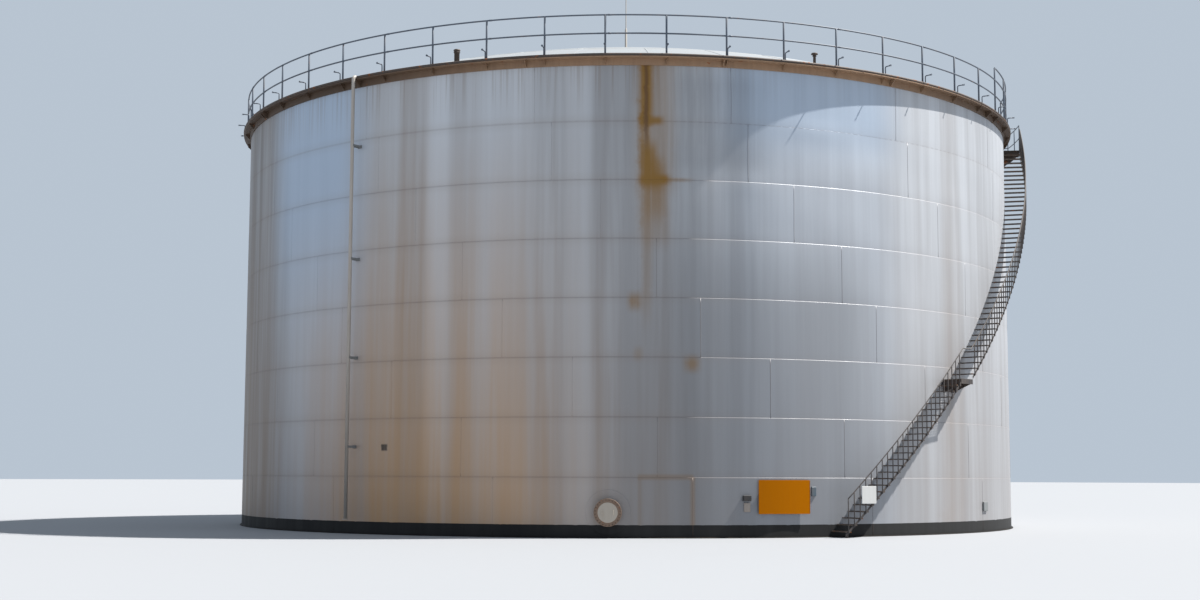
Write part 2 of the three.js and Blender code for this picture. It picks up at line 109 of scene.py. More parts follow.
def length(description, default):
    return FloatProperty(description=description, default=default, min=0.0, unit="LENGTH",
                         subtype="DISTANCE")


def colour(description, code):
    return FloatVectorProperty(description=description, default=linear(code), size=3, min=0.0, max=1.0,
                               subtype="COLOR")


class TankSizes(bpy.types.PropertyGroup):
    """Sizes of the tank's pieces."""
    shell_radius: length("Outside of the lowest course", 14.5)
    course_height: length("Width of one plate course", 1.8)
    shell_top: length("Level of the top of the shell", 14.56)
    draw_in: length("How far the level welds pull the plate inwards", 0.008)
    plate_waves: length("Depth of the waves in the thin upper plates", 0.016)
    girder_radius: length("Outside of the wind girder", 14.76)
    girder_web: length("Outside of the girder's upright web", 14.531)
    girder_plate: length("Thickness of the girder's level plate", 0.03)
    gussets: IntProperty(description="Brackets under the girder", default=49, min=4)
    rail_tube: length("Diameter of the rim's rails", 0.05)
    post_tube: length("Diameter of the rim's posts", 0.06)
    ring_pipe: length("Diameter of the cooling ring", 0.09)
    nozzle_reach: length("How far the spray arms reach out", 0.25)
    riser_pipe: length("Diameter of the riser", 0.114)
    riser_step: length("Height of one step of the stair", 0.2)
    tread_depth: length("Depth of one tread", 0.24)
    guard_height: length("Handrail over the treads", 1)


class TankColours(bpy.types.PropertyGroup):
    """Colours of the tank's finishes."""
    shell: colour("Aluminium paint on the shell", "b3b6bb")
    dull: colour("Shell paint where it has dulled", "8e8f93")
    # Painted sky sheen: a bluish tint that stands in for the blue sky's reflection on the shell.
    cool: colour("Shell paint where it stays bluish", "9fb4cc")
    dirt: colour("Brown dirt that rain carries down", "7d6a58")
    wash: colour("Tan film that grows down the shell", "b08b64")
    rust: colour("Fresh rust", "86502a")
    rust_run: colour("Golden rust that runs down the shell", "825f26")
    old_rust: colour("Dark rust", "4a3126")
    roof: colour("Pale paint on the dome", "8b9094")
    girder: colour("Worn brown paint on the girder", "987a5f")
    rail: colour("Dark paint on the rim's rails", "4a5665")
    guard: colour("Dark paint on the stair's bars", "3a3738")
    steel: colour("Weathered brackets and treads", "4a423d")
    pipe: colour("Pale paint on the riser", "aba59e")
    bitumen: colour("Black coat round the foot", "0a0a0b")
    flange: colour("Rusty paint on the manhole's rim", "7e6857")
    cover: colour("Pale paint on the manhole's cover", "aba296")
    board: colour("Orange paint", "af6600")
    notice: colour("White board", "c6c6c4")
    box: colour("Black box", "24262a")
    tag: colour("Plate under the box", "948b84")
    side: colour("Grey plate and the riser's clips", "767a7c")
    plate: colour("Bluish plate beside the board", "4e5d68")
    floor: colour("Studio floor", "909296")


# Surfaces.
def around(angle, out, along, up):
    """A point beside the tank: x = out sin(angle) + along cos(angle),
    y = along sin(angle) - out cos(angle), z = up."""
    turn = np.radians(angle)
    x = out * np.sin(turn) + along * np.cos(turn)
    y = along * np.sin(turn) - out * np.cos(turn)
    return np.stack(np.broadcast_arrays(x, y, up), axis=-1).astype(float)


def outward(angle):
    """The direction away from the axis."""
    return around(angle, 1, 0, 0)


def sideways(angle):
    """The direction round the tank."""
    return around(angle, 0, 1, 0)


def grid(points, round_u=False, round_v=True, soft=True):
    """Vertices and faces of copies of a net of points (copies, u, v, 3). Each net may close
    on itself along u or v, and a tube that is open along u is closed at its two ends.
    Faces are turned so that the first copy's signed volume is positive."""
    points = points[None] if points.ndim == 3 else points
    index = np.arange(points[..., 0].size).reshape(points.shape[:3])
    here, there = (index, np.roll(index, -1, 1)) if round_u else (index[:, :-1], index[:, 1:])
    if round_v:
        quads = np.stack([here, there, np.roll(there, -1, 2), np.roll(here, -1, 2)], -1)
    else:
        quads = np.stack([here[..., :-1], there[..., :-1], there[..., 1:], here[..., 1:]], -1)
    flat = points.reshape(-1, 3)
    first = flat[quads[0].reshape(-1, 4)] - flat[index[0]].reshape(-1, 3).mean(0)
    volume = sum(np.einsum("ij,ij", first[:, 0], np.cross(first[:, a], first[:, a + 1])) for a in (1, 2))
    caps = []
    if not round_v:
        # A net that starts or stops on its axis meets there in one point.
        if np.ptp(points[0, :, 0], axis=0).max() < 1e-9:
            pole = np.broadcast_to(index[:, :1, :1], here[..., :1].shape)
            caps.append(np.stack([pole, there[..., 1:2], here[..., 1:2]], -1).reshape(-1, 3))
            quads = quads[:, :, 1:]
        if np.ptp(points[0, :, -1], axis=0).max() < 1e-9:
            pole = np.broadcast_to(index[:, :1, -1:], here[..., -1:].shape)
            caps.append(np.stack([here[..., -2:-1], there[..., -2:-1], pole], -1).reshape(-1, 3))
            quads = quads[:, :, :-1]
    elif not round_u:
        caps = [index[:, 0], index[:, -1, ::-1]]
    faces = [quads.reshape(-1, 4)] + caps
    if volume < 0:
        faces = [f[:, ::-1] for f in faces]
    return {"points": flat, "faces": faces, "soft": [soft] + [soft and not round_v] * len(caps)}


def piece(name, grids, finish, slot, *replaced):
    """One mesh of one or more grids, which rides on the tank and may stand for solids."""
    grids = [grids] if isinstance(grids, dict) else grids
    corners, sizes, soft, base = [], [], [], 0
    for g in grids:
        for faces, smooth in zip(g["faces"], g["soft"]):
            corners.append((faces + base).ravel())
            sizes.append(np.full(len(faces), faces.shape[1]))
            soft.append(np.full(len(faces), smooth))
        base += len(g["points"])
    corners, sizes, soft = (np.concatenate(a) for a in (corners, sizes, soft))
    used, corners = np.unique(corners, return_inverse=True)
    points = np.concatenate([g["points"] for g in grids])[used]
    mesh = bpy.data.meshes.new(name)
    mesh.vertices.add(len(points))
    mesh.vertices.foreach_set("co", points.astype(np.float32).ravel())
    mesh.loops.add(len(corners))
    mesh.loops.foreach_set("vertex_index", corners.astype(np.int32))
    mesh.polygons.add(len(sizes))
    mesh.polygons.foreach_set("loop_start", (np.cumsum(sizes) - sizes).astype(np.int32))
    mesh.polygons.foreach_set("use_smooth", soft.astype(bool))
    mesh.update(calc_edges=True)
    mesh.validate()
    mesh.materials.append(FINISHES[finish])
    made = bpy.data.objects.new(name, mesh)
    bpy.context.scene.collection.objects.link(made)
    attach(made, "root")
    if replaced:
        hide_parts(*replaced)


def disc(diameter, sides=10):
    """A circle: radius times (cos v, sin v)."""
    v = 2 * np.pi * np.arange(sides) / sides
    return diameter / 2 * np.stack([np.cos(v), np.sin(v)], -1)


def swept(path, section, side, scale=1):
    """A section (p, q) carried along a path: P(u) + p side(u) + q (T(u) x side(u)), where
    T is the path's direction and side is made square to it."""
    tangent = np.gradient(path, axis=-2)
    tangent /= np.linalg.norm(tangent, axis=-1, keepdims=True)
    side = np.broadcast_to(side, path.shape)
    side = side - tangent * (side * tangent).sum(-1, keepdims=True)
    side = side / np.linalg.norm(side, axis=-1, keepdims=True)
    other = np.cross(tangent, side)
    scale = np.broadcast_to(scale, path.shape[-2])[:, None]
    p, q = section[:, 0] * scale, section[:, 1] * scale
    return path[..., None, :] + p[..., None] * side[..., None, :] + q[..., None] * other[..., None, :]


def tube(path, section, side):
    """A section carried along a path, with closed ends."""
    return grid(swept(path, section, side))


def rod(start, end, section, side, nose=0.003, soft=True):
    """Straight bars from start to end whose ends are eased by a nose."""
    start, end = np.broadcast_arrays(np.asarray(start, float), np.asarray(end, float))
    run = end - start
    run = run / np.linalg.norm(run, axis=-1, keepdims=True) * nose
    path = np.stack([start, start + run, end - run, end], axis=-2)
    side = np.asarray(side, float)
    side = side[..., None, :] if side.ndim == path.ndim - 1 else side
    eased = max(0.2, 1 - nose / np.abs(section).max())
    return grid(swept(path, section, side, (eased, 1, 1, eased)), soft=soft)


def ringed(step, profile):
    """A profile of (radius, level) points turned round the tank's axis by a step."""
    radius, level = np.asarray(profile, float).T
    return around(np.arange(0, 360, step)[:, None], radius, 0, level)


def turned(step, profile, round_v=True, soft=True):
    """A profile turned into a closed ring, or into a disc where it starts on the axis."""
    return grid(ringed(step, profile), round_u=True, round_v=round_v, soft=soft)


def blocks(angles, rows, lift=0):
    """Copies of small bars at each angle. Each row gives a bar's limits (out, along, up), and
    lift raises each copy. The section (along, up) is carried from the first out to the second."""
    rows = np.asarray(rows, float)
    angles = np.atleast_1d(angles).astype(float)
    lift = np.broadcast_to(lift, angles.shape)
    out, along, up = rows[:, 0:2], rows[:, [2, 3, 3, 2]], rows[:, [4, 4, 5, 5]]
    net = around(angles[:, None, None, None], out[:, :, None], along[:, None, :],
                 up[:, None, :] + lift[:, None, None, None])
    return grid(net.reshape(-1, 2, 4, 3), soft=False)


def plates(angles, outline, thickness):
    """Copies of a flat plate in the radial plane: an outline of (out, up) points carried
    over the thickness along the tank's round, with eased edges."""
    ease, half = 0.0015, thickness / 2
    middle = np.mean(outline, axis=0)
    span = np.linalg.norm(outline - middle, axis=1).max()
    along = np.array([-half, -half + ease, half - ease, half])
    shrink = np.array([1 - ease / span, 1, 1, 1 - ease / span])
    net = middle + shrink[:, None, None] * (outline - middle)
    angles = np.asarray(angles, float)[:, None, None]
    return grid(around(angles, net[..., 0], along[:, None], net[..., 1]), soft=False)


def eased_path(corners, radius, steps=6):
    """A path through corners, each one rounded by a quadratic arc between points at the
    radius before and after it: (1-t)^2 A + 2t(1-t) B + t^2 C."""
    corners = np.asarray(corners, float)
    t = np.linspace(0, 1, steps)[:, None]
    parts = [corners[:1]]
    for before, corner, after in zip(corners[:-2], corners[1:-1], corners[2:]):
        a = corner + (before - corner) / np.linalg.norm(before - corner) * radius
        c = corner + (after - corner) / np.linalg.norm(after - corner) * radius
        parts.append((1 - t) ** 2 * a + 2 * t * (1 - t) * corner + t ** 2 * c)
    return np.concatenate(parts + [corners[-1:]])


def ribbon(angles, inner, outer, low, high, chamfer=0.003):
    """An upright strip round the tank whose lower and upper edges follow two levels: the
    section's corners are (inner or outer, low or high), cut by the chamfer."""
    c = chamfer
    out = np.array([inner + c, outer - c, outer, outer, outer - c, inner + c, inner, inner])
    up = np.stack([low, low, low + c, high - c, high, high, high - c, low + c], -1)
    return grid(around(angles[:, None], out, 0, up), soft=False)


def step_angle(step):
    """Angle of a tread: both flights climb by one riser for each pitch."""
    step = np.asarray(step, float)
    return np.where(step < 25, LANDING[0] - STEP_PITCH * (24.5 - step),
                    LANDING[1] + STEP_PITCH * (step - 25.5))


# Waves of the thin upper plates: angle, level, half width in degrees, half height, share.
WAVES = np.array([
    (10, 13.2, 6, 0.8, 1.8), (9, 11.5, 5.5, 0.7, -1.6),
    (24, 12.55, 5, 0.35, 1.3), (33.5, 12.2, 3.6, 0.5, -1.1), (29, 11.2, 5.5, 0.6, 0.9),
    (41, 11.6, 6, 0.7, -0.9), (15.5, 10.7, 3.2, 0.4, 0.9), (49, 10.9, 5, 0.55, 1),
    (56, 12.4, 4.5, 0.6, 0.8), (62, 10.6, 5.5, 0.8, -0.8), (37, 9.1, 7, 0.5, 0.6),
    (52, 8.9, 6, 0.5, 0.7), (20, 9.4, 5, 0.5, -0.5), (66, 8.8, 5, 0.6, 0.7),
    (30, 7.5, 6, 0.5, 0.5), (58, 7.2, 6, 0.5, 0.5), (12, 13.4, 4, 0.5, 0.5),
    (-20, 11, 7, 0.8, 0.35), (-45, 9.5, 7, 0.8, 0.3), (150, 11, 9, 0.9, 0.8),
    (190, 9.5, 9, 0.8, -0.7), (230, 12, 9, 0.8, 0.7), (110, 10, 8, 0.8, 0.7),
])
# How strongly each level weld draws the plate in, from the foot to the top.
WELD_PULL = (0, 0.3, 0.3, 0.3, 0.35, 0.6, 0.7, 0.15, 0)
# How fast the draw-in fades away from its weld, and how far a course bulges on the right.
WELD_FADE = 0.12
BULGE = 0.007


def weld_depth(sizes, angle, weld):
    """How far a level weld pulls the plate in: its share of the draw-in, which swells
    and fades round the tank as 0.65 + 0.35 sin(a) sin(b) of two turns."""
    swell = 0.65 + 0.35 * np.sin(angle / 6.3 + weld * 1.9) * np.sin(angle / 2.9 + weld)
    return sizes.draw_in * WELD_PULL[weld] * swell


def wall_radius(sizes, angle, level, course):
    """The shell's outside: the course's radius, less a draw-in that fades with the distance
    d from its level welds as exp(-d / fade), plus a bulge sin(pi share) of the course's
    height, plus bell-shaped waves. The bulge grows with the level up to 9 m, and logistic
    edges at 8 and 100 degrees keep it to the right side."""
    low = sizes.course_height * (course - 1)
    high = min(low + sizes.course_height, sizes.shell_top)
    share = (level - low) / (high - low)
    radius = sizes.shell_radius - COURSE_STEP * min(course - 1, LAST_STEPPED)
    radius = radius - weld_depth(sizes, angle, course - 1) * np.exp(-(level - low) / WELD_FADE)
    radius = radius - weld_depth(sizes, angle, course) * np.exp(-(high - level) / WELD_FADE)
    right = 1 / (1 + np.exp(-(angle - 8) / 4)) / (1 + np.exp((angle - 100) / 8))
    radius = radius + BULGE * right * np.sin(np.pi * share) * np.clip((level - 1) / 8, 0, 1)
    turn = (angle[..., None] - WAVES[:, 0] + 180) % 360 - 180
    bell = np.exp(-(turn / WAVES[:, 2]) ** 2 - ((level[..., None] - WAVES[:, 1]) / WAVES[:, 3]) ** 2)
    return radius + sizes.plate_waves * (bell * WAVES[:, 4]).sum(-1)


# Finishes.
EFFECTS = {}
FINISHES = {}


class Wiring:
    """Adds nodes to one tree. A value that is a socket is linked, any other is set."""

    def __init__(self, tree):
        self.tree = tree

    def add(self, kind, values=(), **settings):
        node = self.tree.nodes.new(kind)
        for key, value in settings.items():
            setattr(node, key, value)
        for key, value in dict(values).items():
            if isinstance(value, bpy.types.NodeSocket):
                self.tree.links.new(value, node.inputs[key])
            else:
                node.inputs[key].default_value = value
        return node

    def math(self, operation, *values, clamp=False):
        return self.add("ShaderNodeMath", enumerate(values), operation=operation, use_clamp=clamp).outputs[0]

    def plus(self, first, second, clamp=False):
        return self.math("ADD", first, second, clamp=clamp)

    def times(self, first, *others):
        for other in others:
            first = self.math("MULTIPLY", first, other)
        return first

    def blend(self, factor, first, second):
        return self.add("ShaderNodeMix", {0: factor, 6: first, 7: second}, data_type="RGBA").outputs[2]

    def ramp(self, value, start, end, low=0, high=1, smooth=True):
        return self.add("ShaderNodeMapRange", enumerate((value, start, end, low, high)), clamp=True,
                        interpolation_type="SMOOTHSTEP" if smooth else "LINEAR").outputs[0]

    def fade(self, value, start, end, low=0, high=1):
        return self.ramp(value, start, end, low, high, smooth=False)

    def place(self):
        return self.add("ShaderNodeTexCoord").outputs["Object"]

    def noise(self, place, scale, detail, rough):
        values = {"Vector": place, "Scale": scale, "Detail": detail, "Roughness": rough}
        return self.add("ShaderNodeTexNoise", values).outputs[0]

    def group(self, name, *values):
        return self.add("ShaderNodeGroup", enumerate(values), node_tree=EFFECTS[name]).outputs

    def near(self, value, centre, half, edge):
        return self.group("window", value, centre, half, edge)[0]


def bearings(w):
    """Angle round the tank in degrees and level in metres of each point."""
    x, y, z = w.add("ShaderNodeSeparateXYZ", {0: w.place()}).outputs
    return w.times(w.math("ARCTAN2", x, w.times(y, -1)), 180 / math.pi), z


def window(w, value, centre, half, edge):
    """A mask that is 1 within a half width of a centre and fades to 0 over an edge."""
    gap = w.math("ABSOLUTE", w.math("SUBTRACT", value, centre))
    over = w.math("DIVIDE", w.math("SUBTRACT", gap, half), edge)
    return (w.ramp(over, 0, 1, 1, 0),)


def streaks(w, width, run, shift):
    """Upright strands, from noise that is squeezed across and drawn out downwards."""
    across, down = w.math("DIVIDE", 1, width), w.math("DIVIDE", 1, run)
    scale = w.add("ShaderNodeCombineXYZ", {0: across, 1: across, 2: down}).outputs[0]
    move = w.add("ShaderNodeCombineXYZ", {0: shift, 1: shift, 2: shift}).outputs[0]
    drawn = w.add("ShaderNodeVectorMath", {0: w.place(), 1: scale}, operation="MULTIPLY").outputs[0]
    moved = w.add("ShaderNodeVectorMath", {0: drawn, 1: move}, operation="ADD").outputs[0]
    return (w.ramp(w.noise(moved, 1, 3, 0.6), 0.3, 0.7),)


def patches(w, size, cover, softness):
    """Blotches of a size that cover a share of the surface."""
    noise = w.noise(w.place(), w.math("DIVIDE", 1, size), 5, 0.62)
    limit = w.fade(cover, 0, 1, 0.75, 0.25)
    return (w.ramp(noise, limit, w.plus(limit, softness)),)


def weathered(w, paint, dirt, rust, dirt_share, rust_share, size, rough):
    """Paint that has dulled, gathered dirt and broken out in rust, with its roughness and
    the height of its rust scale."""
    broad = w.group("patches", w.times(size, 4), 0.5, 0.25)[0]
    strand = w.group("streaks", w.times(size, 0.4), w.times(size, 5))[0]
    rusted = w.group("patches", size, rust_share, 0.06)[0]
    grain = w.group("patches", 0.02, 0.5, 0.4)[0]
    dirty = w.times(w.plus(w.times(broad, 0.5), w.times(strand, 0.5)), dirt_share)
    mottled = w.blend(w.times(grain, 0.25), rust, dirt)
    rough = w.plus(rough, w.times(dirty, 0.25))
    return (w.blend(rusted, w.blend(dirty, paint, dirt), mottled),
            w.plus(rough, w.times(rusted, 0.3), clamp=True),
            w.plus(w.times(rusted, 0.7), w.times(grain, 0.3)))


def make_effect(build, inputs, outputs):
    """A shader node group with named sockets, whose insides its builder wires. A socket
    whose default has four numbers, or that is named Colour, carries a colour."""
    tree = bpy.data.node_groups.new(build.__name__, "ShaderNodeTree")
    for label, default in inputs.items():
        kind = "NodeSocketColor" if isinstance(default, tuple) else "NodeSocketFloat"
        tree.interface.new_socket(label, in_out="INPUT", socket_type=kind).default_value = default
    for label in outputs:
        kind = "NodeSocketColor" if label == "Colour" else "NodeSocketFloat"
        tree.interface.new_socket(label, in_out="OUTPUT", socket_type=kind)
    w = Wiring(tree)
    given = list(w.add("NodeGroupInput").outputs)[:len(inputs)]
    w.add("NodeGroupOutput", enumerate(build(w, *given)))
    EFFECTS[build.__name__] = tree


def make_effects():
    make_effect(bearings, {}, ("Angle", "Level"))
    make_effect(window, {"Value": 0, "Centre": 0, "Half width": 1, "Edge": 1}, ("Mask",))
    make_effect(streaks, {"Strand width": 0.3, "Strand length": 5, "Shift": 0}, ("Mask",))
    make_effect(patches, {"Size": 0.5, "Cover": 0.3, "Softness": 0.1}, ("Mask",))
    make_effect(weathered, {
        "Paint": (0.5, 0.5, 0.5, 1), "Dirt": (0.2, 0.17, 0.14, 1), "Rust": (0.25, 0.1, 0.03, 1),
        "Dirt share": 0.4, "Rust share": 0.2, "Blotch size": 0.25, "Roughness": 0.5,
    }, ("Colour", "Roughness", "Height"))


def new_material(name):
    """An empty material, kept under its name, and its wiring."""
    made = bpy.data.materials.new(name)
    made.use_nodes = True
    made.node_tree.nodes.clear()
    FINISHES[name] = made
    return Wiring(made.node_tree)


def shade(w, tone, rough, height, metallic, bump, specular=0.5):
    """The finish's own shader, with a bump from a height in metres."""
    normal = w.add("ShaderNodeBump", {"Height": height, "Strength": 0.6, "Distance": bump}).outputs[0]
    shader = w.add("ShaderNodeBsdfPrincipled", {
        "Base Color": tone, "Roughness": rough, "Metallic": metallic, "Normal": normal,
        "Specular IOR Level": specular})
    w.add("ShaderNodeOutputMaterial", {0: shader.outputs[0]})


def rgba(value, gain=1):
    return (value[0] * gain, value[1] * gain, value[2] * gain, 1)


# Finishes of weathered paint: name, colour of the paint and of its dirt, dirt share, rust
# share, blotch size, roughness, metallic and bump.
WEATHERED = (
    ("roof_paint", "roof", "dirt", 0.3, 0.08, 0.9, 0.5, 0, 0.002),
    ("girder_paint", "girder", "old_rust", 0.35, 0.2, 0.3, 0.6, 0, 0.003),
    ("rail_paint", "rail", "dirt", 0.35, 0.18, 0.12, 0.5, 0.1, 0.001),
    ("tread_steel", "steel", "dirt", 0.5, 0.3, 0.15, 0.6, 0.2, 0.001),
    ("dark_steel", "steel", "old_rust", 0.5, 0.3, 0.15, 0.6, 0.2, 0.001),
    ("pipe_paint", "pipe", "dirt", 0.4, 0.08, 0.2, 0.5, 0.1, 0.001),
    ("bitumen", "bitumen", "dirt", 0.15, 0.05, 0.4, 0.7, 0, 0.002),
    ("manhole_rim", "flange", "old_rust", 0.4, 0.25, 0.12, 0.6, 0, 0.002),
    ("cover_paint", "cover", "dirt", 0.3, 0.06, 0.2, 0.5, 0, 0.001),
    ("guard_paint", "guard", "dirt", 0.3, 0.15, 0.15, 0.6, 0.1, 0.001),
    ("board_paint", "board", "old_rust", 0.06, 0.03, 0.2, 0.6, 0, 0.0005),
    ("notice_paint", "notice", "dirt", 0.12, 0.04, 0.15, 0.45, 0, 0.0005),
    ("box_paint", "box", "dirt", 0.3, 0.1, 0.08, 0.5, 0, 0.0005),
    ("tag_paint", "tag", "dirt", 0.4, 0.1, 0.08, 0.6, 0, 0.0005),
    ("side_paint", "side", "dirt", 0.3, 0.1, 0.1, 0.5, 0.1, 0.0005),
    ("plate_paint", "plate", "dirt", 0.4, 0.12, 0.1, 0.5, 0.1, 0.0005),
)
# How strongly a finish shines, where it isn't by the usual half.
SPECULAR = {"bitumen": 0.2, "board_paint": 0.03}
# Angles that stay lit: centre, half width, edge, and the share of painted shade elsewhere.
LIT_ANGLES = {"girder_paint": (12, 14, 40, 0.85), "board_paint": (24, 1, 8, 0.25)}


def weathered_finish(colours, name, paint, dirt, dirt_share, rust_share, size, rough, metallic, bump):
    """A finish of weathered paint, with painted shade away from its lit angles where it has them."""
    w = new_material(name)
    paint = rgba(getattr(colours, paint))
    # Painted shade: the girder's unlit sides and the board's left are darkened.
    if name in LIT_ANGLES:
        centre, half, edge, share = LIT_ANGLES[name]
        clear = w.near(w.group("bearings")[0], centre, half, edge)
        painted_shade = w.times(w.math("SUBTRACT", 1, clear), share)
        paint = w.blend(painted_shade, paint, rgba(paint, 0.1))
    tone, rough, height = w.group("weathered", paint, rgba(getattr(colours, dirt)), rgba(colours.rust),
                                  dirt_share, rust_share, size, rough)
    shade(w, tone, rough, height, metallic, bump, SPECULAR.get(name, 0.5))


# Broad runs on the shell: centre, half width and edge in degrees, share, and colour.
# Most are streaks of stain and paint. The broad pale run at -31 degrees is painted light
# on the shaded left; the dark runs at -80 and -63 degrees are painted shade over the far
# left's dark streaks, and the one at 5.5 degrees is painted shade where the sun leaves the shell.
RUNS = (
    (-31, 14, 10, 0.3, "pale"), (-2, 1.5, 2.5, 0.25, "pale"), (-68, 8, 12, 0.35, "brown"),
    (-80, 14, 14, 0.7, "dark"), (-72, 3, 4, 0.4, "brown"), (-63, 6, 5, 0.45, "dark"),
    (-31.5, 1.6, 2, 0.3, "brown"), (-27.2, 1.5, 1.6, 0.7, "brown"), (-24, 1, 1.2, 0.35, "pale"),
    (-20, 1.2, 1.4, 0.25, "brown"), (-16.5, 1.6, 2, 0.12, "pale"), (-12.5, 0.8, 1.2, 0.2, "pale"),
    (-5.5, 1, 1.4, 0.35, "pale"), (-1.8, 1.7, 1.6, 0.45, "dark"), (5.5, 2.5, 3.5, 0.3, "dark"),
    (14, 1, 1.5, 0.3, "dark"), (48, 1, 2.5, 0.25, "brown"), (60, 8, 8, 0.2, "dark"),
    (0.6, 0.6, 1.2, 0.25, "dark"), (-62, 6, 6, 0.4, "brown"), (-4, 7, 5, 0.25, "brown"),
)
# Spots that make up the rust run and its stains: angle, half width and edge in degrees,
# level, half height and edge in metres, share, and colour. The first spot, dark at 11
# degrees high up, is painted shade where the top plates turn away from the sun.
RUSTS = (
    (11, 3, 4.5, 12.6, 1.1, 0.8, 0.3, "dark"), (3.4, 1, 2.4, 12.6, 1.8, 0.8, 0.4, "golden"),
    (2.2, 0.25, 1, 13.6, 1, 0.3, 1, "golden"), (3, 0.6, 1.2, 12.62, 0.02, 0.2, 0.9, "golden"),
    (2.1, 0.2, 0.8, 11.9, 0.5, 0.6, 0.7, "golden"), (2.5, 0.3, 1.3, 11.3, 0.3, 0.6, 0.9, "golden"),
    (3.1, 0.4, 1.5, 11, 0.15, 0.6, 0.7, "golden"), (3.2, 1.1, 1.3, 10.8, 0.04, 0.2, 1, "golden"),
    (5.5, 1, 2, 10.8, 0.02, 0.08, 0.4, "golden"), (3.1, 0.6, 1.8, 10.4, 0.2, 1, 0.6, "golden"),
    (3.2, 0.9, 1.8, 9.5, 0.2, 0.9, 0.3, "golden"), (2.3, 0.2, 0.8, 8.4, 1, 1.4, 0.25, "golden"),
    (0.9, 0.2, 1.1, 7.08, 0.03, 0.4, 0.6, "golden"), (7.7, 0.1, 1.4, 5.2, 0.03, 0.35, 0.6, "golden"),
    (1.3, 0.1, 0.8, 5.5, 0.03, 0.3, 0.25, "golden"), (-31.5, 0.35, 0.25, 2.7, 0.07, 0.06, 0.85, "black"),
)


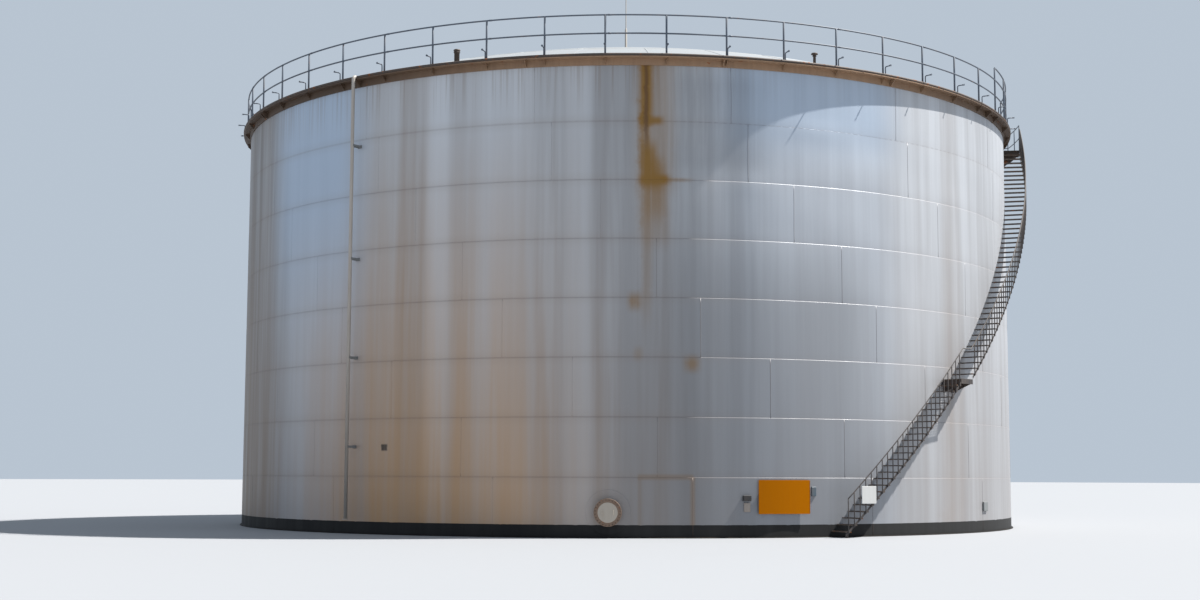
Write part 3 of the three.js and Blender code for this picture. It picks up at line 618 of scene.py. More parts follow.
def shell_finish(name, colours, weld=False):
    """Aluminium paint on the shell: strands of dulled paint and rain dirt, darker level
    welds, brown wash on the left, a rust run from the rim and the black foot. Painted
    light lifts the shaded left, a painted blue sky sheen lies high up on both sides, and
    painted shade darkens the shell low down, on the far left, where the sun leaves it and
    low on the right."""
    w = new_material(name)
    near, ramp, fade, times, plus = w.near, w.ramp, w.fade, w.times, w.plus
    angle, level = w.group("bearings")
    wide = w.group("streaks", 1.3, 20)[0]
    middle = w.group("streaks", 0.55, 14, 3)[0]
    fine = w.group("streaks", 0.1, 8, 7)[0]
    cloud = w.group("patches", 3, 0.5, 0.3)[0]
    # Overlays on the paint: stains, and pale and dark tones that the runs also use as painted light and
    # painted shade.
    overlays = {"brown": rgba(colours.dirt), "golden": rgba(colours.rust_run), "black": rgba(colours.bitumen),
              "pale": rgba(colours.shell, 1.45), "dark": rgba(colours.dull, 0.55)}
    brown, dark, rust = overlays["brown"], overlays["dark"], rgba(colours.old_rust)
    paint = w.blend(wide, rgba(colours.shell, 0.98), rgba(colours.shell, 1.16))

    def over(share, wash):
        """The paint so far, with a share of an overlay over it: stains, and in places painted light and
        painted shade.
        """
        return w.blend(share, paint, wash)

    paint = over(times(middle, 0.42), rgba(colours.dull))
    paint = over(times(fine, 0.08), rgba(colours.dull, 0.8))
    paint = over(times(cloud, 0.15), rgba(colours.shell, 1.25))
    # Darker towards the bottom, and painted shade low down that offsets the floor's bounced
    # light, weaker on the sunlit right.
    paint = over(fade(level, 13, 2, 0, 0.3), dark)
    paint = over(times(fade(level, 7, 0.5, 0, 0.4), ramp(angle, 8, 40, 1, 0.6)), dark)
    downwards = ramp(level, 14, 2, 0.5, 1)
    for centre, half, edge, share, wash in RUNS:
        mask = times(near(angle, centre, half, edge), share, plus(times(middle, 0.5), 0.6))
        paint = over(times(mask, downwards) if wash == "brown" else mask, overlays[wash])
    # A tan film, strongest low on the left, and a grey one under the rust run.
    left = plus(near(angle, -27, 5, 22), ramp(angle, 15, -5, 0.08, 0.2), clamp=True)
    film = times(fade(level, 13, 1, 0, 0.85), left, plus(times(middle, 0.4), 0.7))
    paint = over(film, rgba(colours.wash))
    paint = over(times(near(angle, 4, 3, 4), ramp(level, 12, 6), 0.3), dark)
    # Painted sky sheen: a bluish tint high up on both sides that stands in for the sky's
    # reflection, and painted shade low on the right.
    cool = plus(times(near(angle, 24, 8, 8), ramp(level, 11, 13.2, 0.15, 0.55)),
                times(near(angle, -46, 5, 9), ramp(level, 5, 12, 0.1, 0.7)))
    paint = over(cool, rgba(colours.cool))
    paint = over(times(near(angle, 20, 8, 9), ramp(level, 10.5, 6.5), 0.5), dark)
    # Level welds and the dirt that hangs on them, by the distance from the nearest weld.
    seam = w.math("PINGPONG", level, HALF_COURSE)
    left = ramp(angle, 25, -5, 0.3, 1)
    paint = over(times(ramp(seam, 0, 0.3, 1, 0), left, 0.1), brown)
    paint = over(times(ramp(seam, 0.008, 0.05, 1, 0), left, 0.14), rust)
    # Drips under the rim.
    drips = times(ramp(level, 12.6, 14.4), ramp(fine, 0.5, 0.9), ramp(angle, 20, 0, 0.05, 0.3))
    paint = over(drips, brown)
    # The rust run and its stains, with ragged edges.
    speckle = w.group("patches", 0.35, 0.6, 0.5)[0]
    ragged = plus(times(middle, 0.25), times(plus(speckle, fine), 0.3))
    ragged = plus(ragged, 0.72, clamp=True)
    drift = plus(angle, times(w.math("SUBTRACT", speckle, 0.5), 0.5))
    run = 0
    for centre, half, edge, height, tall, soft, share, wash in RUSTS:
        spot = times(near(drift, centre, half, edge), near(level, height, tall, soft), share, ragged)
        paint = over(spot, overlays[wash])
        run = plus(run, spot, clamp=True) if wash == "golden" else run
    paint = over(times(near(drift, 2.25, 0.05, 0.35), ramp(level, 11.4, 12.6), 0.6), rust)
    # The outline of the plate that closed the old doorway by the manhole.
    sides = plus(times(near(angle, 1.7, 0.08, 0.25), 0.5), near(angle, 8, 0.1, 0.4))
    top = times(near(level, 1.81, 0.03, 0.1), near(angle, 4.8, 3.1, 0.4), 0.9)
    outline = plus(times(sides, ramp(level, 1.83, 1.78)), top, clamp=True)
    paint = over(times(outline, 0.6), brown)
    # The black foot with its uneven edge, and splashes above it.
    paint = over(times(ramp(level, 1.3, 0.35), cloud, 0.35), brown)
    edge = plus(level, times(w.group("patches", 0.4, 0.5, 0.3)[0], 0.02))
    foot = ramp(edge, 0.395, 0.385)
    paint = over(foot, overlays["black"])
    if weld:
        paint = over(ramp(angle, -5, 15, 0.06, 0.35), rust)
    worn = plus(times(middle, 0.12), times(run, 0.3))
    rough = plus(worn, ramp(foot, 0, 1, 0.4, 0.7), clamp=True)
    metallic = ramp(plus(foot, run), 0, 1, 0.15, 0)
    shade(w, paint, rough, plus(times(middle, 0.5), times(fine, 0.5)), metallic, 0.002)


# Operators.
class TANK_OT_finishes(bpy.types.Operator):
    """Makes the finishes of all pieces"""
    bl_idname = "tank.finishes"
    bl_label = "Finishes"

    def execute(self, context):
        colours = context.scene.tank_colours
        make_effects()
        shell_finish("shell_paint", colours)
        shell_finish("weld_paint", colours, weld=True)
        for row in WEATHERED:
            weathered_finish(colours, *row)
        return {"FINISHED"}


class Maker:
    """The run that the operators of all pieces share: each makes its own to the tank's sizes."""

    def execute(self, context):
        self.make(context.scene.tank_sizes)
        return {"FINISHED"}


class TANK_OT_shell(Maker, bpy.types.Operator):
    """Makes the eight plate courses and their welds"""
    bl_idname = "tank.shell"
    bl_label = "Shell"

    def make(self, sizes):
        step = 0.625
        inner = sizes.shell_radius - SHELL_WALL
        # A course's rows crowd towards its welds, where the plate is drawn in.
        t = np.linspace(-1, 1, 20)
        share = 0.5 + 0.5 * np.sin(t * np.pi / 2) * (0.75 + 0.25 * np.abs(t))
        v = np.linspace(0, 2 * np.pi, 8, endpoint=False)
        turns = np.arange(0, 360, 1.0)[:, None]
        beads, uprights = [], []
        for course, first_weld in enumerate(FIRST_WELDS, 1):
            low = sizes.course_height * (course - 1) + (BOTTOM_PLATE if course == 1 else 0)
            high = min(sizes.course_height * course, sizes.shell_top)
            # Narrow rows at the edges keep the soft shading there to the welds' own width.
            foot = 0.003
            lip, sunk, rise = (0.012, COURSE_STEP, 0.002) if course <= LAST_STEPPED else (0.003, 0, 0.0004)
            level = np.concatenate([[low], low + foot + (high - low - foot - lip) * share, [high]])
            net_angle, net_level = np.meshgrid(np.arange(0, 360, step), level, indexing="ij")
            outside = around(net_angle, wall_radius(sizes, net_angle, net_level, course), 0, net_level)
            wall = np.concatenate([outside, ringed(step, [(inner, high), (inner, low)])], 1)
            piece(f"shell_wall_{course}", grid(wall, round_u=True), "shell_paint", "aluminium_paint",
                  f"shell_course_{course}")
            if course < len(FIRST_WELDS):
                radius = wall_radius(sizes, turns, np.full_like(turns, high), course) - sunk
                bead = around(turns, radius + rise * np.cos(v), 0, high + 0.008 * np.sin(v))
                beads.append(grid(bead, round_u=True))
            weld = first_weld + WELD_PITCH * np.arange(WELDS)
            stations = np.linspace(low + 0.01, min(high, RIM_LOW - 0.01) - 0.01, 12)
            net_angle, net_level = np.meshgrid(weld, stations, indexing="ij")
            path = around(net_angle, wall_radius(sizes, net_angle, net_level, course), 0, net_level)
            uprights.append(tube(path, disc(1, 6) * (0.008, 0.022), outward(weld[:, None])))
        piece("level_welds", beads, "weld_paint", "aluminium_paint")
        piece("upright_welds", uprights, "weld_paint", "aluminium_paint")


class TANK_OT_base(Maker, bpy.types.Operator):
    """Makes the bottom plate that the shell stands on"""
    bl_idname = "tank.base"
    bl_label = "Bottom plate"

    def make(self, sizes):
        edge = sizes.shell_radius + 0.06
        profile = [(0, 0), (edge - 0.004, 0), (edge, 0.004), (edge, 0.02), (edge - 0.004, 0.024),
                   (edge - 0.1, BOTTOM_PLATE), (0, BOTTOM_PLATE)]
        piece("bottom_sheet", turned(0.75, profile, round_v=False), "bitumen", "bitumen", "bottom_plate")


class TANK_OT_roof(Maker, bpy.types.Operator):
    """Makes the dome with its lapped sheets"""
    bl_idname = "tank.roof"
    bl_label = "Dome roof"

    def make(self, sizes):
        sphere, edge, sheet = 38.3, 14.484, 0.04
        centre = sizes.shell_top + sheet - math.sqrt(sphere ** 2 - edge ** 2)

        def height(radius):
            """The dome's level: centre + sqrt(sphere^2 - radius^2)."""
            return centre + np.sqrt(sphere ** 2 - radius ** 2)

        radii = np.linspace(0, edge, 28)
        top = np.stack([radii, height(radii)], -1)
        rim = [(edge, sizes.shell_top), (edge - 0.06, sizes.shell_top)]
        profile = np.concatenate([top, rim, top[-4::-3] - (0, sheet)])
        piece("dome_sheets", turned(0.75, profile, round_v=False), "roof_paint", "roof_paint", "dome_roof")
        seams = []
        for radius in (2.3, 5.3, 8.4, 11.5):
            lap = ((-0.03, -0.01), (-0.03, 0.002), (0, 0.008), (0.03, 0.002), (0.03, -0.01))
            seams.append(turned(1.5, [(radius + out, height(radius + out) + up) for out, up in lap]))
        # Seams between the sheets of each ring: inner and outer end, number and first angle.
        for inner, outer, count, start in ((2.33, 5.27, 12, 5), (5.33, 8.37, 18, 0),
                                           (8.43, 11.47, 24, 7), (11.53, 14.35, 36, 3)):
            lines = (start + 360 / count * np.arange(count))[:, None]
            run = np.linspace(inner, outer, 8)
            path = around(lines, run, 0, height(run))
            seams.append(tube(path, disc(1, 6) * (0.06, 0.016), sideways(lines)))
        piece("dome_seams", seams, "roof_paint", "roof_paint")


class TANK_OT_girder(Maker, bpy.types.Operator):
    """Makes the wind girder, its brackets and its splices"""
    bl_idname = "tank.girder"
    bl_label = "Wind girder"

    def make(self, sizes):
        outer, web, top, low = sizes.girder_radius, sizes.girder_web, RIM_TOP, RIM_LOW
        inner, under = sizes.shell_radius - 0.0137, RIM_TOP - sizes.girder_plate
        profile = [(inner, low), (web - 0.003, low), (web, low + 0.003), (web, under), (outer - 0.004, under),
                   (outer, under + 0.004), (outer, top - 0.004), (outer - 0.004, top), (inner, top)]
        piece("girder_ring", turned(0.5, profile, soft=False), "girder_paint", "rusty_steel", "wind_girder")
        angles = POST_ANGLES[0] + 360 / sizes.gussets * np.arange(sizes.gussets)
        outline = [(web - 0.01, low + 0.02), (web + 0.012, low + 0.02), (outer - 0.06, under - 0.03),
                   (outer - 0.06, under + 0.001), (web - 0.01, under + 0.001)]
        piece("girder_brackets", plates(angles, outline, 0.008), "girder_paint", "rusty_steel")
        # Each splice is a pair of upright flanges on the web, held by bolts.
        splices = 11.8 + WELD_PITCH * np.arange(WELDS)
        outline = [(web - 0.01, low + 0.004), (web + 0.04, low + 0.004), (outer - 0.03, under - 0.06),
                   (outer - 0.03, under + 0.001), (web - 0.01, under + 0.001)]
        parts = [plates(splices, outline, 0.022)]
        for out in (web + 0.035, web + 0.12):
            for level in (under - 0.05, under - 0.11):
                start, end = (around(splices, out, along, level) for along in (-0.018, 0.018))
                parts.append(rod(start, end, disc(0.022, 6), UP, soft=False))
        piece("girder_splices", parts, "girder_paint", "rusty_steel")


class TANK_OT_handrail(Maker, bpy.types.Operator):
    """Makes the rim's posts and rails, open at the stair's gate"""
    bl_idname = "tank.handrail"
    bl_label = "Rim handrail"

    def make(self, sizes):
        half = sizes.rail_tube / 2
        top, raised = RAIL_TOP - half, RAISED_TOP - half
        heights = np.full(POSTS, top)
        heights[RAISED] = raised
        foot = around(POST_ANGLES, POST_RADIUS, 0, RIM_TOP)
        head = around(POST_ANGLES, POST_RADIUS, 0, heights)
        base = RIM_TOP + 0.012
        posts = [rod(foot, head, disc(sizes.post_tube, 12), outward(POST_ANGLES)),
                 blocks(POST_ANGLES, [(POST_RADIUS - 0.06, POST_RADIUS + 0.06, -0.06, 0.06, RIM_TOP, base)]),
                 plates(POST_ANGLES, [(POST_RADIUS - 0.055, base), (POST_RADIUS - 0.02, base),
                                      (POST_RADIUS - 0.02, RIM_TOP + 0.13)], 0.008)]
        rails = []
        whole = (GATE[1], GATE[0] + POSTS, 385)
        part = (RAISED[0], RAISED[-1], 25)
        for level, (start, end, count) in ((top, whole), (MID_RAIL, whole), (raised, part)):
            turns = POST_ANGLES[0] + np.linspace(POST_PITCH * start, POST_PITCH * end, count)
            path = around(turns, POST_RADIUS, 0, level)
            rails.append(tube(path, disc(sizes.rail_tube, 12), outward(turns)))
        sleeves = POST_ANGLES[::2] + 0.5
        for level in (top, MID_RAIL):
            start, end = (around(sleeves, POST_RADIUS, along, level) for along in (-0.05, 0.05))
            rails.append(rod(start, end, disc(sizes.rail_tube + 0.01, 12), UP))
        piece("rim_posts", posts, "rail_paint", "rail_paint", *(f"rim_handrail_{i}" for i in range(1, 8)))
        piece("rim_rails", rails, "rail_paint", "rail_paint")


class TANK_OT_cooling(Maker, bpy.types.Operator):
    """Makes the cooling ring, its saddles, spray arms and nozzle heads"""
    bl_idname = "tank.cooling"
    bl_label = "Cooling ring"

    def make(self, sizes):
        level, end = RIM_TOP + sizes.ring_pipe / 2, RING_RADIUS + sizes.nozzle_reach
        saddle = [(RING_RADIUS - 0.05, RING_RADIUS + 0.045, -0.02, 0.02, RIM_TOP, RIM_TOP + 0.03)]
        piece("cooling_pipe", [turned(0.625, disc(sizes.ring_pipe, 12) + (RING_RADIUS, level)),
                               blocks(POST_ANGLES + POST_PITCH / 2, saddle)],
              "dark_steel", "dark_steel", "cooling_ring")
        arms = np.delete(POST_ANGLES, GATE)[:, None]
        line = eased_path([(RING_RADIUS, level), (RING_RADIUS, SPRAY_LEVEL), (end - 0.06, SPRAY_LEVEL)], 0.05)
        path = around(arms, line[:, 0], 0, line[:, 1])
        # Each nozzle head is turned about its arm: distance from the arm's end, and radius.
        head = np.array([(-0.07, 0.019), (-0.06, 0.026), (-0.03, 0.026), (-0.024, 0.014), (-0.01, 0.014),
                         (-0.004, 0.034), (0, 0.034)])
        v = np.arange(8) * np.pi / 4
        out, wide = end + head[:, :1], head[:, 1:]
        heads = grid(around(arms[:, None], out, wide * np.cos(v), SPRAY_LEVEL + wide * np.sin(v)))
        pipes = tube(path, disc(0.036, 8), sideways(arms))
        piece("spray_arms", [pipes, heads], "rail_paint", "dark_steel")


class TANK_OT_riser(Maker, bpy.types.Operator):
    """Makes the riser pipe with its clips, its foot flange and its elbow"""
    bl_idname = "tank.riser"
    bl_label = "Riser pipe"

    def make(self, sizes):
        size, top = sizes.riser_pipe, RIM_TOP + sizes.ring_pipe / 2 + 0.005
        side = sideways(RISER_ANGLE)
        line = eased_path([(RISER_RADIUS, 0.48), (RISER_RADIUS, top), (RING_RADIUS + 0.02, top)], 0.09)
        path = around(RISER_ANGLE, line[:, 0], 0, line[:, 1])
        start, end = (around(RISER_ANGLE, RISER_RADIUS, 0, level) for level in (0.45, 0.47))
        flange = rod(start, end, disc(size * 1.85, 24), side, 0.002)
        piece("riser_line", [tube(path, disc(size, 20), side), flange], "pipe_paint", "galvanised_steel",
              "riser_pipe")
        # Two arms and a block on the wall: outer end, limits along the wall and half height.
        wall, reach, clips = sizes.shell_radius - 0.02, RISER_RADIUS + 0.018, []
        for level in RISER_CLIPS:
            for out, start, end, half in ((reach, -0.066, -0.058, 0.035), (reach, 0.058, 0.066, 0.035),
                                          (wall + 0.032, -0.08, 0.08, 0.05)):
                clips.append((wall, out, start, end, level - half, level + half))
        piece("riser_clips", blocks(RISER_ANGLE, clips), "side_paint", "dark_steel")


class TANK_OT_stair(Maker, bpy.types.Operator):
    """Makes the stair's flights, landing and top platform"""
    bl_idname = "tank.stair"
    bl_label = "Stair"

    def make(self, sizes):
        rise, half, plate = sizes.riser_step, sizes.tread_depth / 2, 0.012
        inner, outer = sizes.shell_radius - 0.035, STAIR_OUTER - plate
        # A tread's sheet, its two noses, its raised lines and its end plate.
        rows = [(inner, outer, -half + 0.004, half - 0.004, -0.006, 0),
                (inner, outer, -half, -half + 0.005, -0.032, 0.002),
                (inner, outer, half - 0.005, half, -0.022, 0.002)]
        rows += [(inner + 0.08, outer - 0.03, t - 0.004, t + 0.004, 0, 0.003)
                 for t in np.linspace(-half + 0.03, half - 0.03, 6)]
        rows += [(outer - 0.005, outer, -half, half, -0.04, 0)]
        stringers, brackets, decks = [], [], []
        for name, part in (("lower", LOWER_STEPS), ("upper", UPPER_STEPS)):
            piece(f"treads_{name}", blocks(step_angle(part), rows, part * rise), "tread_steel",
                  "galvanised_steel", f"stair_{name}_flight")
            stations = np.linspace(part[0] - 0.45, part[-1] + 0.44, len(part) * 2)
            # A flight keeps its own pitch past its first and last tread.
            angle = step_angle(part[0]) + STEP_PITCH * (stations - part[0])
            top = stations * rise + 0.005
            stringers.append(ribbon(angle, outer, STAIR_OUTER, top - 0.09, top))
        near_wall, far = STAIR_OUTER - 0.044, STAIR_OUTER - 0.004
        stringers.append(blocks(step_angle(1), [
            (STAIR_OUTER - 0.05, near_wall, -0.03, 0.03, plate, 0.19),
            (near_wall, far, -0.03, -0.024, plate, 0.19),
            (STAIR_OUTER - 0.09, far, -0.06, 0.06, 0, plate)]))
        # Each deck with the drop, beam depth and inset of the brackets that carry it.
        for start, end, level, drop, beam, inset in (LANDING + (0.42, 0.16, 0.35),
                                                     PLATFORM + (0.7, 0.27, 0.6)):
            angle = np.linspace(start + 0.03, end - 0.03, 14)
            for radius in np.linspace(STAIR_INNER, STAIR_OUTER - 0.02, 22):
                decks.append(ribbon(angle, radius, radius + 0.004, level - 0.035, level, 0.0005))
            # Cross bars lie about 0.1 m apart at the deck's middle.
            middle, pitch = 14.9, 0.1
            count = max(6, int(math.radians(end - start) * middle / pitch))
            cross = start + 0.05 + (end - start - 0.1) * np.linspace(0, 1, count)
            decks.append(blocks(cross, [
                (STAIR_INNER, STAIR_OUTER - 0.01, -0.004, 0.004, level - 0.03, level - 0.002)]))
            brackets.append(blocks(start + 0.22, [
                (STAIR_INNER, STAIR_OUTER - 0.013, -0.012, 0.012, level - beam, level - 0.01)]))
            for radius in (STAIR_INNER, outer):
                stringers.append(ribbon(angle, radius, radius + plate, level - 0.16, level + 0.004))
            wall, tip = 14.46, STAIR_OUTER - 0.02
            outline = [(wall, level - drop), (wall + 0.09, level - drop), (tip, level - 0.15),
                       (tip, level - 0.037), (wall, level - 0.037)]
            brackets.append(plates([start + inset, end - inset], outline, 0.014))
        piece("stair_stringers", stringers, "guard_paint", "galvanised_steel")
        piece("stair_brackets", brackets, "dark_steel", "dark_steel")
        piece("stair_decks", decks, "tread_steel", "dark_steel", "stair_landing", "stair_platform")


class TANK_OT_guards(Maker, bpy.types.Operator):
    """Makes the stair's bars and handrail and the platform's guard"""
    bl_idname = "tank.guards"
    bl_label = "Stair guard"

    def make(self, sizes):
        rise, reach, rail = sizes.riser_step, STAIR_OUTER + 0.018, sizes.guard_height - 0.02
        steps = np.concatenate([LOWER_STEPS, UPPER_STEPS])
        angle = step_angle(steps)
        foot = around(angle, reach - 0.006, 0, steps * rise - 0.075)
        head = around(angle, reach, 0, steps * rise + rail)
        piece("stair_bars", rod(foot, head, disc(0.034, 8), outward(angle)), "guard_paint", "rail_paint",
              "stair_guard_lower", "stair_guard_upper")
        # The handrail follows both flights, crosses the landing and ends at the platform.
        low, high = np.linspace(1, 24, 47), np.linspace(26, 71, 91)
        turns = np.concatenate([step_angle(low), [45.6, 47.4], step_angle(high), [85.4]])
        level = np.concatenate([low * rise, [LANDING[2], LANDING[2]], high * rise, [14.3]]) + rail
        path = around(turns, reach, 0, level)
        piece("stair_handrail", tube(path, disc(0.036, 10), outward(turns)), "guard_paint", "rail_paint")
        # The platform's guard: three posts, and two rails that turn in at its far end.
        start, end, deck = PLATFORM
        inner, tall, post, pipe = 14.81, 0.985, disc(0.038, 10), disc(0.034, 10)
        posts = np.array([start + 0.25, (start + end) / 2, end - 0.15])
        last = posts[2]
        foot, head = around(posts, reach, 0, deck - 0.13), around(posts, reach, 0, deck + tall)
        parts = [rod(foot, head, post, outward(posts))]
        for level in (deck + 0.981, deck + 0.481):
            path = np.concatenate([around(np.linspace(posts[0], last, 12), reach, 0, level),
                                   around(last, np.array([reach - 0.03, inner]), 0, level)])
            parts.append(tube(np.concatenate([path[:-3], eased_path(path[-4:], 0.02)[1:]]), pipe, UP))
        foot = around(last, inner, 0, deck)
        parts.append(rod(foot, foot + (0, 0, tall), post, outward(last)))
        piece("platform_rails", parts, "rail_paint", "rail_paint", "platform_guard")


class TANK_OT_manhole(Maker, bpy.types.Operator):
    """Makes the shell manhole: pad plate, neck, flange, cover, bolts and handles"""
    bl_idname = "tank.manhole"
    bl_label = "Manhole"

    def make(self, sizes):
        v = np.radians(np.arange(0, 360, 6))[:, None]
        wall = sizes.shell_radius

        def spun(profile, closed=True, curved=False):
            """A profile of (radius, out from the wall) points turned round the manhole's own
            axis. Where it is curved, it drops with the wall: sqrt(wall^2 - along^2)."""
            radius, out = np.array(profile).T
            along, up = radius * np.cos(v), radius * np.sin(v) + MANHOLE_LEVEL
            base = np.sqrt(wall ** 2 - along ** 2) if curved else wall
            net = around(MANHOLE_ANGLE, base + out, along, up)
            return grid(net, round_u=True, round_v=closed, soft=False)

        pad = [(0.31, 0.014), (0.318, 0.016), (0.665, 0.016), (0.675, 0.012), (0.675, -0.004), (0.31, -0.004)]
        neck = [(0.304, -0.05), (0.304, 0.208), (0.416, 0.208), (0.416, 0.235), (0.29, 0.235), (0.29, -0.05)]
        lid = [(0, 0.2355), (0.412, 0.2355), (0.416, 0.24), (0.416, 0.253), (0.412, 0.257), (0, 0.257)]
        dish = [(0, 0.25), (0.3, 0.25), (0.3, 0.262), (0.292, 0.266), (0, 0.269)]
        piece("manhole_pad", spun(pad, curved=True), "shell_paint", "aluminium_paint", "manhole_plate")
        piece("manhole_flange", spun(neck), "manhole_rim", "dark_steel", "manhole_neck")
        piece("manhole_lid", spun(lid, closed=False), "manhole_rim", "aluminium_paint", "manhole_cover")
        piece("manhole_dish", spun(dish, closed=False), "cover_paint", "aluminium_paint")
        # Bolts on their circle: shank, head and nut, with both ends, size and sides.
        circle = 0.375
        spots = np.radians(np.arange(0, 360, 15) + 7.5)
        along, up = circle * np.cos(spots), circle * np.sin(spots) + MANHOLE_LEVEL
        bolts = []
        for first, last, size, sides in ((0.19, 0.285, 0.02, 8), (0.257, 0.273, 0.034, 6),
                                         (0.194, 0.208, 0.034, 6)):
            start, end = (around(MANHOLE_ANGLE, wall + out, along, up) for out in (first, last))
            bolts.append(rod(start, end, disc(size, sides), UP, soft=False))
        piece("manhole_bolts", bolts, "dark_steel", "dark_steel")
        root, grip = wall + 0.262, wall + 0.31
        line = eased_path([(root, -0.07), (grip, -0.07), (grip, 0.07), (root, 0.07)], 0.02)
        place = np.array([[-0.17], [0.17]])
        path = around(MANHOLE_ANGLE, line[:, 0], place, line[:, 1] + MANHOLE_LEVEL)
        handles = tube(path, disc(0.016, 8), sideways(MANHOLE_ANGLE))
        piece("manhole_handles", handles, "cover_paint", "dark_steel")


class TANK_OT_roof_fittings(Maker, bpy.types.Operator):
    """Makes the gauge hatch, the vent and the rod on the dome"""
    bl_idname = "tank.roof_fittings"
    bl_label = "Roof fittings"

    def make(self, sizes):
        v = np.radians(np.arange(0, 360, 15))[:, None]

        def stood(name, angle, radius, profile, finish, node):
            """A profile of (radius, level) points turned about an upright line."""
            out, level = np.array(profile).T
            centre = around(angle, radius, 0, 0)
            x, y = out * np.cos(v) + centre[0], out * np.sin(v) + centre[1]
            net = np.stack(np.broadcast_arrays(x, y, level), -1)
            piece(name, grid(net, round_u=True, round_v=False), finish, "galvanised_steel", node)

        cap = 0.11
        for name, node, angle, size in (("roof_hatch", "gauge_hatch", -23, 0.085),
                                        ("roof_vent", "roof_vent", 25.9, 0.045)):
            low, top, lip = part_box(node)[0].z + 0.02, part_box(node)[1].z, size + 0.02
            stood(name, angle, 13.75, [
                (0, low), (size, low), (size, top - 0.12), (lip, top - 0.12), (lip, top - 0.1),
                (size, top - 0.1), (size, top - 0.08), (cap, top - 0.06), (cap, top - 0.035),
                (cap * 0.8, top - 0.012), (0, top)], "dark_steel", node)
        low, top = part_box("lightning_rod")[0].z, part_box("lightning_rod")[1].z
        stood("roof_rod", 0, 0, [
            (0, low), (0.2, low), (0.2, low + 0.03), (0.06, low + 0.04), (0.045, low + 0.1),
            (0.045, top - 1.9), (0.03, top - 1.86), (0.02, top - 1.8), (0.018, top - 0.3),
            (0.006, top - 0.02), (0, top)], "pipe_paint", "lightning_rod")


class TANK_OT_boards(Maker, bpy.types.Operator):
    """Makes the blank boards, the box, its tag and the small plates"""
    bl_idname = "tank.boards"
    bl_label = "Boards"

    def make(self, sizes):
        wall = sizes.shell_radius

        def panel(angle, out, width, low, high, thickness, cut):
            """A flat panel: a rectangle with cut corners, carried outwards over its thickness."""
            a, b = width / 2, (high - low) / 2
            section = np.array([(-a + cut, -b), (a - cut, -b), (a, -b + cut), (a, b - cut),
                                (a - cut, b), (-a + cut, b), (-a, b - cut), (-a, -b + cut)])
            start, end = (around(angle, place, 0, (low + high) / 2) for place in (out - thickness, out))
            return rod(start, end, section, sideways(angle), thickness * 0.2, soft=False)

        face = wall + 0.07
        sheet = panel(BOARD_ANGLE, face - 0.004, 1.7, 0.715, 1.735, 0.012, 0.02)
        folds = [(face - 0.02, face, along, along + 0.006, 0.735, 1.715) for along in (-0.847, 0.841)]
        rails = [(wall - 0.03, face - 0.016, along - 0.02, along + 0.02, 0.82, 1.63) for along in (-0.6, 0.6)]
        piece("board_sheet", [sheet, blocks(BOARD_ANGLE, folds)], "board_paint", "orange_paint",
              "orange_board")
        piece("board_rails", blocks(BOARD_ANGLE, rails), "dark_steel", "dark_steel")
        lid = panel(14.55, wall + 0.12, 0.236, 1.107, 1.263, 0.014, 0.006)
        notice = float(step_angle(NOTICE_STEP))
        for name, node, finish, slot, shape, more in (
                ("box_body", "junction_box", "box_paint", "box_black",
                 (14.55, wall + 0.105, 0.25, 1.1, 1.27, 0.12, 0.006), [lid]),
                ("tag_sheet", "box_tag", "tag_paint", "tag_brown",
                 (14.6, wall + 0.04, 0.2, 0.78, 1.05, 0.045, 0.006), []),
                ("small_sheet", "small_plate", "plate_paint", "plate_blue",
                 (23.3, wall + 0.04, 0.15, 1.25, 1.53, 0.045, 0.006), []),
                ("side_sheet", "side_plate", "side_paint", "plate_grey",
                 (56.6, wall + 0.06, 0.36, 0.7, 1.01, 0.065, 0.006), []),
                ("notice_sheet", "stair_notice", "notice_paint", "notice_white",
                 (notice, STAIR_OUTER + 0.0453, 0.54, 1.03, 1.555, 0.018, 0.012), [])):
            piece(name, [panel(*shape)] + more, finish, slot, node)


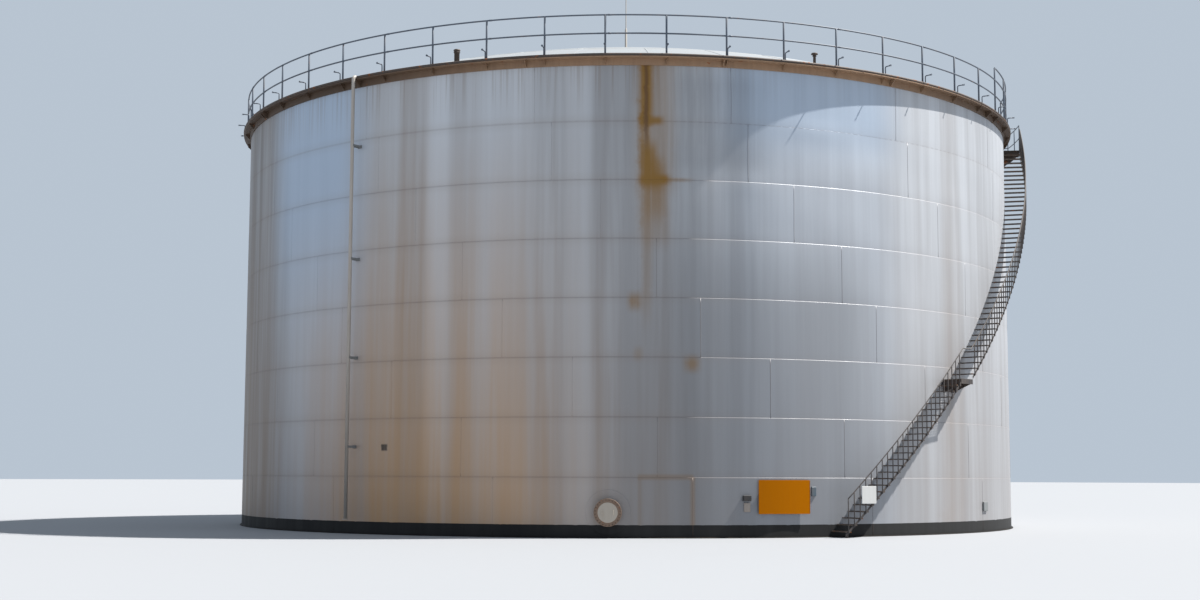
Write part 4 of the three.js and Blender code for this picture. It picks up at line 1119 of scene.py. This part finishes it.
class TANK_OT_stage(bpy.types.Operator):
    """Makes the floor, the light and the camera"""
    bl_idname = "tank.stage"
    bl_label = "Stage"

    def execute(self, context):
        scene = context.scene
        w = new_material("studio_floor")
        blotch = w.group("patches", 6, 0.5, 0.5)[0]
        floor = scene.tank_colours.floor
        tone = w.blend(w.times(blotch, 0.15), rgba(floor), rgba(floor, 0.9))
        shade(w, tone, 0.8, blotch, 0, 0.002, 0.2)
        rings = np.geomspace(6, 420, 14)
        net = turned(6, np.stack([rings, rings * 0 - 0.002], -1), round_v=False)
        mesh = bpy.data.meshes.new("floor")
        mesh.from_pydata(net["points"].tolist(), [], net["faces"][0].tolist())
        mesh.materials.append(FINISHES["studio_floor"])
        made = bpy.data.objects.new("floor", mesh)
        scene.collection.objects.link(made)
        world = bpy.data.worlds.new("studio")
        world.use_nodes = True
        back = world.node_tree.nodes["Background"]
        back.inputs[0].default_value = (0.73, 0.84, 0.97, 1)
        back.inputs[1].default_value = 0.66
        scene.world = world
        scene.view_settings.view_transform = "Standard"
        sun = bpy.data.lights.new("key", "SUN")
        sun.energy = 9.2
        sun.angle = math.radians(0.7)
        sun.color = (1, 0.97, 0.92)
        lamp = bpy.data.objects.new("key", sun)
        lamp.matrix_world = Vector((0.56, 0.08, 0.86)).to_track_quat("Z", "Y").to_matrix().to_4x4()
        scene.collection.objects.link(lamp)
        camera = bpy.data.cameras.new("camera")
        camera.sensor_width = 36
        camera.lens = 47.83
        camera.shift_y = 0.0191
        camera.clip_end = 1500
        holder = bpy.data.objects.new("camera", camera)
        yaw, pitch, roll = math.radians(0.917), math.radians(5.422), math.radians(0.195)
        holder.matrix_world = (Matrix.Translation((0, -62.229, 1.89)) @ Matrix.Rotation(yaw, 4, "Z")
                               @ Matrix.Rotation(math.pi / 2 + pitch, 4, "X") @ Matrix.Rotation(roll, 4, "Z"))
        scene.collection.objects.link(holder)
        scene.camera = holder
        return {"FINISHED"}


STEPS = (TANK_OT_finishes, TANK_OT_shell, TANK_OT_base, TANK_OT_roof, TANK_OT_girder, TANK_OT_handrail,
         TANK_OT_cooling, TANK_OT_riser, TANK_OT_stair, TANK_OT_guards, TANK_OT_manhole,
         TANK_OT_roof_fittings, TANK_OT_boards, TANK_OT_stage)


class VIEW3D_PT_tank(bpy.types.Panel):
    """Lists the tank's sizes, colours and steps"""
    bl_label = "Storage tank"
    bl_idname = "VIEW3D_PT_tank"
    bl_space_type = "VIEW_3D"
    bl_region_type = "UI"
    bl_category = "Tank"

    def draw(self, context):
        for group in (context.scene.tank_sizes, context.scene.tank_colours):
            for name in group.__annotations__:
                self.layout.prop(group, name, text=name.replace("_", " ").capitalize())
        for step in STEPS:
            self.layout.operator(step.bl_idname)


CLASSES = (TankSizes, TankColours) + STEPS + (VIEW3D_PT_tank,)


def register():
    for kind in CLASSES:
        bpy.utils.register_class(kind)
    bpy.types.Scene.tank_sizes = PointerProperty(type=TankSizes)
    bpy.types.Scene.tank_colours = PointerProperty(type=TankColours)


def unregister():
    del bpy.types.Scene.tank_colours
    del bpy.types.Scene.tank_sizes
    for kind in reversed(CLASSES):
        bpy.utils.unregister_class(kind)


def main():
    register()
    for step in STEPS:
        group, name = step.bl_idname.split(".")
        getattr(getattr(bpy.ops, group), name)()


if __name__ == "__main__":
    main()
